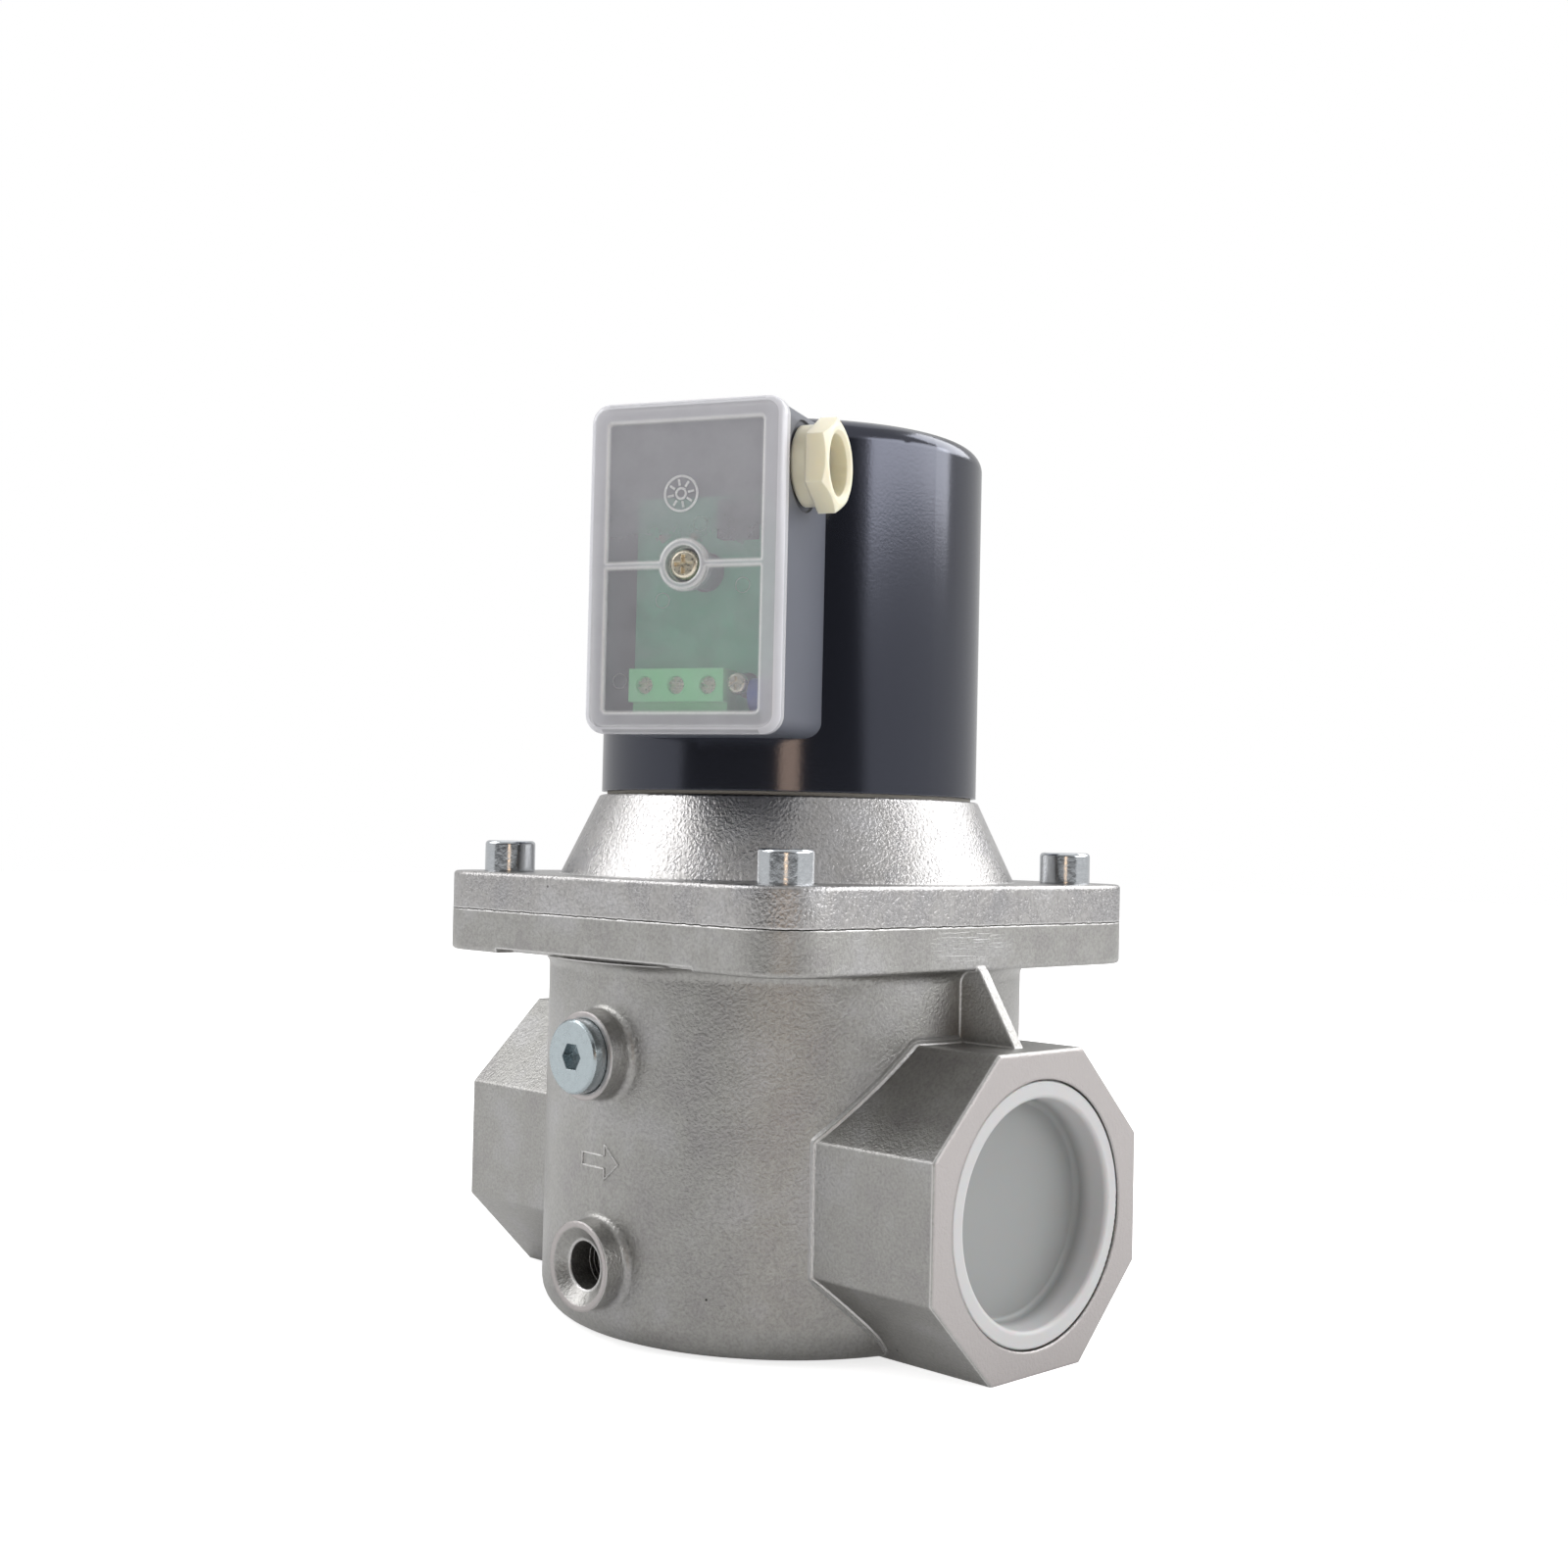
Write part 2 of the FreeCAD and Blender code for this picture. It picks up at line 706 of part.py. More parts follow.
def inlet_strainer():
    """Shallow cup with a pattern of holes, seated behind the inlet thread."""
    rim_radius = strainer_radius
    rim = ring(rim_radius, rim_radius - strainer_rim_width, 0, strainer_rim_length)
    sheet = disc(rim_radius, 0, strainer_sheet)
    reach = port_bore_radius - strainer_rim_width - strainer_hole_flats / 2
    rows = int(reach / strainer_pitch) + 1
    holes = []
    for row in range(-rows, rows + 1):
        for column in range(-rows, rows + 1):
            across = strainer_pitch * (column + row / 2)
            up = strainer_pitch * row * math.sqrt(3) / 2
            if math.hypot(across, up) < reach:
                hole = polygon_prism(6, strainer_hole_flats, -over, strainer_sheet + over)
                hole.translate(Vector(across, up, 0))
                holes.append(hole)
    strainer = joined([rim, sheet]).cut(holes)
    return solid_of(aimed(strainer, Vector(-1, 0, 0), Vector(-strainer_seat_x, 0, port_axis_z)))


# Moving group

def guide_ring_levels():
    high = plunger_top_z - guide_ring_inset - guide_ring_width
    return [plunger_bottom_z + guide_ring_low, high]


def plunger():
    body = disc(plunger_radius, plunger_bottom_z, plunger_top_z)
    ends = edges_at(body, plunger_bottom_z) + edges_at(body, plunger_top_z)
    body = body.makeChamfer(edge_round, ends)
    for level in guide_ring_levels():
        inner = plunger_radius - guide_ring_depth
        body = body.cut(ring(plunger_radius + over, inner, level, level + guide_ring_width))
    hole = disc(stem_radius + thread_gap, plunger_bottom_z - over, plunger_bottom_z + stem_engagement)
    return solid_of(body.cut(hole))


def guide_ring(level):
    inner = plunger_radius - guide_ring_depth + thread_gap
    return solid_of(ring(tube_bore_radius - guide_gap, inner, level, level + guide_ring_width))


def valve_stem():
    low = disc_nut_z - stem_end_length
    return turned([(0, low), (stem_end_radius, low), (stem_end_radius, hub_top_z),
                   (stem_radius, hub_top_z), (stem_radius, plunger_bottom_z + stem_engagement),
                   (0, plunger_bottom_z + stem_engagement)])


def valve_disc():
    bore = stem_end_radius + thread_gap
    return turned([(bore, disc_seal_top_z), (disc_radius, disc_seal_top_z), (disc_radius, disc_top_z),
                   (disc_rim_radius, disc_top_z), (disc_rim_radius, disc_top_z + disc_rim_height),
                   (disc_hub_radius, disc_top_z + disc_rim_height), (disc_hub_radius, hub_top_z),
                   (bore, hub_top_z)])


def disc_seal():
    return ring(disc_radius, stem_end_radius + thread_gap, seat_lip_z, disc_seal_top_z)


def disc_washer():
    return ring(disc_washer_radius, stem_end_radius + thread_gap, disc_washer_z, seat_lip_z)


def disc_nut():
    nut = polygon_prism(6, disc_nut_flats, disc_nut_z, disc_washer_z)
    return solid_of(nut.cut(disc(stem_end_radius + thread_gap, disc_nut_z - over, disc_washer_z + over)))


def closing_spring():
    """Round wire coiled about the stem, from the disc up to the collar of the tube.

    Each half turn is one arc through three points of the helix.
    """
    low = disc_top_z + spring_wire_radius + seat_gap
    high = collar_z - spring_wire_radius - seat_gap
    rise = (high - low) / (2 * spring_turns)

    def helix_point(half_turns):
        angle = math.pi * half_turns
        return Vector(spring_mean_radius * math.cos(angle), spring_mean_radius * math.sin(angle),
                      low + rise * half_turns)

    arcs = [Part.Arc(helix_point(step), helix_point(step + 0.5), helix_point(step + 1)).toShape()
            for step in range(2 * spring_turns)]
    heading = Vector(0, math.pi * spring_mean_radius, rise)
    wire_end = Part.Wire([Part.makeCircle(spring_wire_radius, helix_point(0), heading)])
    return solid_of(Part.Wire(arcs).makePipeShell([wire_end], True, False))


# Armature tube and fixed core

def armature_tube():
    roof = collar_z + collar_thickness
    groove_out = nipple_radius + tube_seal_width + 2 * seat_gap
    groove = ring(groove_out, nipple_radius, roof - tube_seal_height, roof + over)
    tube = turned([(tube_bore_radius, collar_z), (collar_radius, collar_z), (collar_radius, roof),
                   (nipple_radius, roof), (nipple_radius, bonnet_top_z), (tube_radius, bonnet_top_z),
                   (tube_radius, core_top_z), (tube_bore_radius, core_top_z)])
    return solid_of(tube.cut(groove))


def tube_seal():
    roof = collar_z + collar_thickness
    inner = nipple_radius + seat_gap
    return ring(inner + tube_seal_width, inner, roof - tube_seal_height, roof)


def fixed_core():
    """Pole piece welded into the tube, with the stud that holds the coil down."""
    radius = tube_bore_radius - thread_gap
    return turned([(0, core_z), (radius, core_z), (radius, core_top_z), (stud_radius, core_top_z),
                   (stud_radius, stud_top_z), (0, stud_top_z)])


def coil_washer():
    return ring(washer_radius, stud_radius + slide_gap, coil_top_z, coil_nut_z)


def coil_nut():
    nut = polygon_prism(6, coil_nut_flats, coil_nut_z, coil_nut_z + coil_nut_height)
    corner = coil_nut_flats / 2 / math.cos(math.pi / 6)
    top = coil_nut_z + coil_nut_height
    crown = turned([(0, coil_nut_z), (corner, coil_nut_z), (corner, top - edge_round),
                    (corner - 2 * edge_round, top), (0, top)])
    return solid_of(nut.common(crown).cut(disc(stud_radius + thread_gap, coil_nut_z - over, top + over)))


# Coil

def coil_base_ring():
    return ring(coil_radius - base_ring_inset, nipple_radius + slide_gap, bonnet_top_z, coil_z)


def coil_shell():
    """Deep steel can, open below, with the rounded top edge."""
    can = disc(coil_radius, coil_z, coil_top_z)
    can = can.makeFillet(coil_edge_radius, edges_at(can, coil_top_z))
    can = can.cut(disc(coil_radius - coil_wall, coil_z - over, winding_roof_z))
    can = can.cut(disc(stud_radius + slide_gap, winding_roof_z - over, coil_top_z + over))
    pins = [box_pin(coil_pin_hole_radius, u, coil_pin_z, winding_radius, coil_radius + over)
            for u in coil_pin_places()]
    screws = [box_pin(box_screw_radius + thread_gap, 0, z, winding_radius, coil_radius + over)
              for z in (box_screw_low_z, box_screw_high_z)]
    return solid_of(can.cut(pins + screws))


def coil_base_plate():
    return ring(coil_radius - coil_wall - seat_gap, bobbin_bore_radius, coil_z, winding_floor_z)


def coil_bobbin():
    tube_outer = bobbin_bore_radius + bobbin_wall
    flange = bobbin_flange_radius
    low = winding_floor_z + bobbin_flange_thickness
    high = winding_roof_z - bobbin_flange_thickness
    return turned([(bobbin_bore_radius, winding_floor_z), (flange, winding_floor_z), (flange, low),
                   (tube_outer, low), (tube_outer, high), (flange, high), (flange, winding_roof_z),
                   (bobbin_bore_radius, winding_roof_z)])


def coil_winding():
    inner = bobbin_bore_radius + bobbin_wall + thread_gap
    low = winding_floor_z + bobbin_flange_thickness
    return ring(winding_radius, inner, low, winding_roof_z - bobbin_flange_thickness)


# Terminal box

def coil_pin_places():
    return [coil_pin_middle - coil_pin_spacing / 2, coil_pin_right]


def box_inside(margin):
    """Rounded prism of the box interior, from the coil axis to the cover, in the u, h, v frame."""
    width = 2 * (box_half - margin)
    height = box_height - 2 * (cover_overhang + margin)
    radius = box_corner_radius - cover_overhang - margin
    return box_slab(width, height, radius, box_middle_z, 0, cover_back)


def terminal_box():
    """Housing moulded to the curve of the coil, open at the front."""
    outside = in_box(box_inside(0))
    hollow = in_box(box_inside(box_wall)).cut(disc(box_back_radius + box_wall, box_bottom_z, box_top_z))
    gland_axis = box_point(0, gland_z, gland_reach)
    gland_boss = aimed(disc(gland_boss_radius, gland_boss_start, box_half - box_wall / 2),
                       box_across, gland_axis)
    posts = [box_pin(post_radius, 0, cover_screw_z, winding_radius, cover_post_top),
             box_pin(earth_post_radius, earth_screw_u, earth_screw_z, winding_radius, earth_post_reach)]
    shape = joined([outside.cut(hollow), gland_boss] + posts + board_rests())
    shape = shape.cut(disc(box_back_radius, box_bottom_z - over, box_top_z + over))
    shape = shape.cut(box_block(-box_width, box_width, box_bottom_z, box_top_z, -coil_radius, 0))
    gland_hole = aimed(disc(gland_shank_radius + thread_gap, gland_boss_start - over, box_half + over),
                       box_across, gland_axis)
    pocket = aimed(disc(gland_pocket_radius, box_half - gland_pocket_depth, box_half + over),
                   box_across, gland_axis)
    rim_guard = box_block(0, box_width, box_bottom_z, box_top_z, cover_back - gland_pocket_depth, box_front)
    cuts = [gland_hole, pocket.cut(rim_guard)]
    cuts.append(box_pin(cover_screw_radius + thread_gap, 0, cover_screw_z,
                        cover_screw_base - cover_screw_length - over, box_front))
    cuts.extend(box_pin(box_screw_radius + seat_gap, 0, z, winding_radius, board_back)
                for z in (box_screw_low_z, box_screw_high_z))
    cuts.extend(box_pin(coil_pin_hole_radius, u, coil_pin_z, winding_radius, board_back)
                for u in coil_pin_places())
    cuts.append(box_pin(earth_shank_radius + thread_gap, earth_screw_u, earth_screw_z,
                        earth_post_reach - earth_screw_length - over, box_front))
    cuts.append(gasket_frame(gasket_width + 2 * seat_gap, cover_back - gasket_height, cover_back + over))
    return solid_of(shape.cut(cuts))


def gasket_frame(width, back, front):
    """Rectangular ring centred on the wall of the box."""
    middle = box_wall / 2
    outer = 2 * (box_half - middle) + width
    tall = box_height - 2 * (cover_overhang + middle) + width
    radius = box_corner_radius - cover_overhang - middle
    frame = box_slab(outer, tall, radius + width / 2, box_middle_z, back, front)
    hole = box_slab(outer - 2 * width, tall - 2 * width, radius - width / 2, box_middle_z, back, front)
    return in_box(frame.cut(hole))


def box_cover():
    """Clear moulded lid: border, two sunk panels, a rib between them and the screw boss."""
    middle = box_middle_z
    lid = box_slab(box_width, box_height, box_corner_radius, middle, cover_back, box_front)
    lid = lid.makeFillet(cover_edge_radius, edges_at(lid, box_front))
    inner_radius = box_corner_radius - cover_wall
    hollow = box_slab(box_width - 2 * cover_wall, box_height - 2 * cover_wall, inner_radius, middle,
                      cover_back - over, box_front - cover_wall)
    lid = lid.cut(hollow)
    panel = box_slab(box_width - 2 * cover_border, box_height - 2 * cover_border, edge_round, middle,
                     box_front - cover_panel_sink, box_front + over)
    rib = Part.makeBox(box_width, cover_rib_width, box_front)
    rib.translate(Vector(-box_width / 2, cover_screw_z - cover_rib_width / 2, 0))
    boss = Part.makeCylinder(cover_boss_radius, box_front, Vector(0, cover_screw_z, 0))
    lid = lid.cut(panel.cut([rib, boss]))
    column = Part.makeCylinder(cover_boss_radius, cover_screw_seat + cover_wall,
                               Vector(0, cover_screw_z, cover_post_top))
    pocket = Part.makeCylinder(cover_screw_pocket_radius, box_front, Vector(0, cover_screw_z, cover_screw_base))
    bore = Part.makeCylinder(cover_screw_radius + seat_gap, box_front,
                             Vector(0, cover_screw_z, cover_post_top - over))
    return solid_of(in_box(lid.fuse(column).cut([pocket, bore]).removeSplitter()))


def box_gasket():
    return solid_of(gasket_frame(gasket_width, cover_back - gasket_height, cover_back))


def pan_screw(across, height, seat, head_radius, head_height, radius, length):
    """Pan-head screw with a cross slot, drawn outwards from the face that it clamps."""
    head = disc(head_radius, 0, head_height)
    head = head.makeFillet(head_height * pan_share_round, edges_at(head, head_height))
    shank = disc(radius, -length, 0)
    screw = joined([head, shank])
    slot_length = head_radius * slot_share_length
    slot_width = head_radius * slot_share_width
    depth = head_height * slot_share_depth
    for size in ((slot_length, slot_width), (slot_width, slot_length)):
        slot = Part.makeBox(size[0], size[1], depth + over)
        slot.translate(Vector(-size[0] / 2, -size[1] / 2, head_height - depth))
        screw = screw.cut(slot)
    screw.translate(Vector(across, height, seat))
    return solid_of(in_box(screw))


def cover_screw():
    return pan_screw(0, cover_screw_z, cover_screw_base, cover_screw_head_radius,
                     cover_screw_head_height, cover_screw_radius, cover_screw_length)


def box_screw(height):
    seat = box_back_radius + box_wall
    return pan_screw(0, height, seat, box_screw_head_radius, box_screw_head_height,
                     box_screw_radius, seat - (coil_radius - coil_wall))


def gland_body():
    start = box_half
    collar = disc(gland_collar_radius, start, gland_nut_start)
    shank = disc(gland_shank_radius, gland_boss_start, start)
    bore = disc(gland_hole_radius, gland_boss_start - over, gland_nut_start + over)
    body = joined([collar, shank]).cut(bore)
    return solid_of(aim_gland(body))


def aim_gland(shape):
    """Turns a piece drawn along +Z onto the gland axis, with a corner of the hexagon on top."""
    return shape.transformed(gland_matrix())


def gland_matrix():
    origin = box_point(0, gland_z, gland_reach)
    side = box_out
    return Matrix(0, side.x, box_across.x, origin.x,
                  0, side.y, box_across.y, origin.y,
                  1, 0, 0, origin.z,
                  0, 0, 0, 1)


def gland_nut():
    end = gland_nut_start + gland_nut_length
    corner = gland_flats / 2 / math.cos(math.pi / 6)
    hexagon = polygon_prism(6, gland_flats, gland_nut_start, end, gland_turn)
    crown = turned([(0, gland_nut_start), (corner, gland_nut_start), (corner, end - gland_chamfer / 2),
                    (corner - gland_chamfer, end), (0, end)])
    mouth = gland_hole_radius + gland_mouth_chamfer
    bore = turned([(0, gland_nut_start - over), (gland_hole_radius, gland_nut_start - over),
                   (gland_hole_radius, end - gland_mouth_chamfer), (mouth, end), (mouth, end + over),
                   (0, end + over)])
    nut = hexagon.common(crown).cut(bore)
    return solid_of(aim_gland(nut))


def gland_seal():
    start = gland_nut_start - gland_seal_length
    seal = ring(gland_hole_radius - thread_gap, cable_radius, start, gland_nut_start)
    return solid_of(aim_gland(seal))


# Circuit board

def circuit_board():
    board = box_block(board_left, board_right, board_bottom_z, board_top_z, board_back, board_front)
    cuts = [box_pin(post_radius + bore_gap, 0, cover_screw_z, board_back - over, board_front + over)]
    cuts.extend(box_pin(coil_pin_radius + thread_gap, u, coil_pin_z, board_back - over, board_front + over)
                for u in coil_pin_places())
    cuts.append(box_pin(earth_post_radius + bore_gap, earth_screw_u, earth_screw_z,
                        board_back - over, board_front + over))
    notch_z = gland_z - gland_boss_radius - bore_gap
    cuts.append(box_block(gland_boss_start - bore_gap, board_right + over, notch_z, board_top_z + over,
                          board_back - over, board_front + over))
    return solid_of(board.cut(cuts))


def board_rests():
    """Two ribs of the housing that the board lies on."""
    low = board_bottom_z + board_rest_inset
    high = gland_z - gland_boss_radius - board_rest_inset
    return [box_block(across, across + board_rest_width, low, high, winding_radius, board_back)
            for across in (board_left, board_right - board_rest_width)]


def terminal_places():
    start = terminal_left + terminal_pitch / 2
    height = (terminal_bottom_z + terminal_top_z) / 2 + terminal_step_height / 2
    return [(start + terminal_pitch * pole, height) for pole in range(terminal_poles)]


def terminal_block():
    """Moulded block with a stepped front, a screw well over each pole and wire entries below."""
    right = terminal_right
    top = board_front + terminal_height
    block = box_block(terminal_left, right, terminal_bottom_z, terminal_top_z, board_front, top)
    step = box_block(terminal_left - over, right + over, terminal_bottom_z - over,
                     terminal_bottom_z + terminal_step_height, top - terminal_step_depth, top + over)
    cuts = [step]
    floor = board_front + terminal_floor
    half = (terminal_pitch - terminal_entry_wall) / 2
    for across, height in terminal_places():
        cuts.append(box_pin(terminal_screw_radius + seat_gap, across, height, floor, top + over))
        cuts.append(box_block(across - half, across + half, terminal_bottom_z - over,
                              terminal_bottom_z + terminal_entry_depth, floor, floor + terminal_entry_height))
    return solid_of(block.cut(cuts))


def terminal_screw(across, height):
    top = board_front + terminal_height - terminal_screw_sink
    screw = disc(terminal_screw_radius, board_front + terminal_floor, top)
    slot = Part.makeBox(2 * (terminal_screw_radius + over), terminal_slot_width, terminal_slot_depth + over)
    slot.translate(Vector(-terminal_screw_radius - over, -terminal_slot_width / 2, top - terminal_slot_depth))
    screw = screw.cut(slot)
    screw.translate(Vector(across, height, 0))
    return solid_of(in_box(screw))


def earth_screw():
    return pan_screw(earth_screw_u, earth_screw_z, earth_post_reach, earth_screw_radius,
                     earth_head_height, earth_shank_radius, earth_screw_length)


def bridge_rectifier():
    half = rectifier_side / 2
    case = box_block(rectifier_u - half, rectifier_u + half, rectifier_z - half, rectifier_z + half,
                     board_front, board_front + rectifier_height)
    return solid_of(case)


def varistor():
    """Coated disc standing on its edge on the board."""
    centre = box_point(varistor_u - varistor_thickness / 2, varistor_z, board_front + varistor_radius)
    return solid_of(aimed(disc(varistor_radius, 0, varistor_thickness), box_across, centre))


def coil_pin(across):
    start = winding_radius + slide_gap
    return solid_of(box_pin(coil_pin_radius, across, coil_pin_z, start, board_front + coil_pin_proud))


# Output

def all_nodes():
    nodes = {
        "valve_body": valve_body(),
        "bonnet": bonnet(),
        "bonnet_seal": bonnet_seal(),
        "test_plug": test_plug(),
        "test_plug_seal": test_plug_seal(),
        "outlet_cap": outlet_cap(),
        "inlet_strainer": inlet_strainer(),
        "armature_tube": armature_tube(),
        "tube_seal": tube_seal(),
        "fixed_core": fixed_core(),
        "coil_washer": coil_washer(),
        "coil_nut": coil_nut(),
        "coil_base_ring": coil_base_ring(),
        "closing_spring": closing_spring(),
        "plunger": plunger(),
        "valve_stem": valve_stem(),
        "valve_disc": valve_disc(),
        "disc_seal": disc_seal(),
        "disc_washer": disc_washer(),
        "disc_nut": disc_nut(),
        "coil_shell": coil_shell(),
        "coil_base_plate": coil_base_plate(),
        "coil_bobbin": coil_bobbin(),
        "coil_winding": coil_winding(),
        "terminal_box": terminal_box(),
        "box_gasket": box_gasket(),
        "box_cover": box_cover(),
        "cover_screw": cover_screw(),
        "gland_body": gland_body(),
        "gland_seal": gland_seal(),
        "gland_nut": gland_nut(),
        "circuit_board": circuit_board(),
        "bridge_rectifier": bridge_rectifier(),
        "varistor": varistor(),
        "terminal_block": terminal_block(),
        "earth_screw": earth_screw(),
    }
    for number, place in enumerate(screw_places(), 1):
        nodes["bonnet_screw_%d" % number] = socket_screw(place)
    for number, level in enumerate(guide_ring_levels(), 1):
        nodes["guide_ring_%d" % number] = guide_ring(level)
    for number, place in enumerate(terminal_places(), 1):
        nodes["terminal_screw_%d" % number] = terminal_screw(*place)
    for number, across in enumerate(coil_pin_places(), 1):
        nodes["coil_pin_%d" % number] = coil_pin(across)
    for number, height in enumerate((box_screw_low_z, box_screw_high_z), 1):
        nodes["box_screw_%d" % number] = box_screw(height)
    return nodes


os.makedirs("parts", exist_ok=True)
for name, shape in all_nodes().items():
    shape.exportStep("parts/%s.step" % name)
    print(name, shape.ShapeType, "valid" if shape.isValid() else "NOT VALID", round(shape.Volume, 1))
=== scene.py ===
import bpy
import math
from mathutils import Matrix, Vector


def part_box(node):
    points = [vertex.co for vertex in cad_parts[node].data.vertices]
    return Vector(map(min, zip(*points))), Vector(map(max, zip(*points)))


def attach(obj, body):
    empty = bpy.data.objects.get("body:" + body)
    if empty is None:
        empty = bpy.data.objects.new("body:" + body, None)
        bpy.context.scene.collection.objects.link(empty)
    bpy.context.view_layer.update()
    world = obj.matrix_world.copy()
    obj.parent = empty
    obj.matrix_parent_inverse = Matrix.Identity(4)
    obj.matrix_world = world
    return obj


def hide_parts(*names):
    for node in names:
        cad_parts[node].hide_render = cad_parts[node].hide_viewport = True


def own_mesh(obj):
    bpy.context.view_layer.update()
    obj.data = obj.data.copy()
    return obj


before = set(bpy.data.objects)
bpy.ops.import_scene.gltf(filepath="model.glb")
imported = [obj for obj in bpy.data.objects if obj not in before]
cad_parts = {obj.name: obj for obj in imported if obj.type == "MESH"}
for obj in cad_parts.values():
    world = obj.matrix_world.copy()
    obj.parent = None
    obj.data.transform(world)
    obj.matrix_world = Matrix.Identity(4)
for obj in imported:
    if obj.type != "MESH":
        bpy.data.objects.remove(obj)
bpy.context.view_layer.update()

# Gas solenoid valve: cast aluminium body and bonnet, round enamelled coil, clear-lidded terminal box.
# Metres. The pipe runs along X, the stem along Z, and the test points face -Y.

mm = 0.001
print("frame loaded:", len(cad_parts), "nodes")


# Small tools

def hexColour(text):
    parts = [int(text[i:i + 2], 16) / 255 for i in (1, 3, 5)]
    linear = [c / 12.92 if c <= 0.04045 else ((c + 0.055) / 1.055) ** 2.4 for c in parts]
    return (*linear, 1.0)


def addNode(tree, kind, settings=None, links=None):
    # settings: attributes in small letters, input values by label or number, and "stops" for a ramp.
    # A colour Mix has its share at input 0 and its colours at 6 and 7, and gives the result at output 2.
    node = tree.nodes.new(kind)
    for key, value in (settings or {}).items():
        if isinstance(value, str) and value.startswith("#"):
            value = hexColour(value)
        if key == "stops":
            while len(node.color_ramp.elements) < len(value):
                node.color_ramp.elements.new(0.5)
            for element, (place, tone) in zip(node.color_ramp.elements, value):
                element.position, element.color = place, hexColour(tone)
        elif isinstance(key, str) and key[0].islower():
            setattr(node, key, value)
        else:
            node.inputs[key].default_value = value
    for key, (source, output) in (links or {}).items():
        tree.links.new(node.inputs[key], source.outputs[output])
    return node


def newMaterial(name, settings):
    material = bpy.data.materials.new(name)
    material.use_nodes = True
    shader = material.node_tree.nodes["Principled BSDF"]
    for label, value in settings.items():
        shader.inputs[label].default_value = hexColour(value) if isinstance(value, str) else value
    return material, material.node_tree, shader


def feed(tree, shader, links):
    for label, (source, output) in links.items():
        tree.links.new(shader.inputs[label], source.outputs[output])


noiseLow, noiseHigh = 0.3, 0.7  # nearly all values of a noise texture lie between these
waveSpan = math.pi / 10  # a wave texture at scale 1 repeats after this length


# Cast aluminium

casting = {
    "cloud": 16 * mm, "mottle": 2.4 * mm, "grain": 0.75 * mm,
    # Pale edge tone: worn metal, with a painted highlight on the rounded edges
    "edgeRound": 0.9 * mm, "edgeFrom": 0.998, "edgeTo": 0.92, "edgeHighlightTone": "#e8e7e6",
    "pitSpacing": 15 * mm, "pitRadius": 0.3 * mm, "pitTone": "#4c4a48",
    "seamHeight": 101.9 * mm, "seamWidth": 0.16 * mm, "seamWander": 0.5 * mm, "seamTone": "#3b3936",
    "portFace": 84.9 * mm, "bossFace": 66.9 * mm, "machinedTone": "#bbb6b5",
}


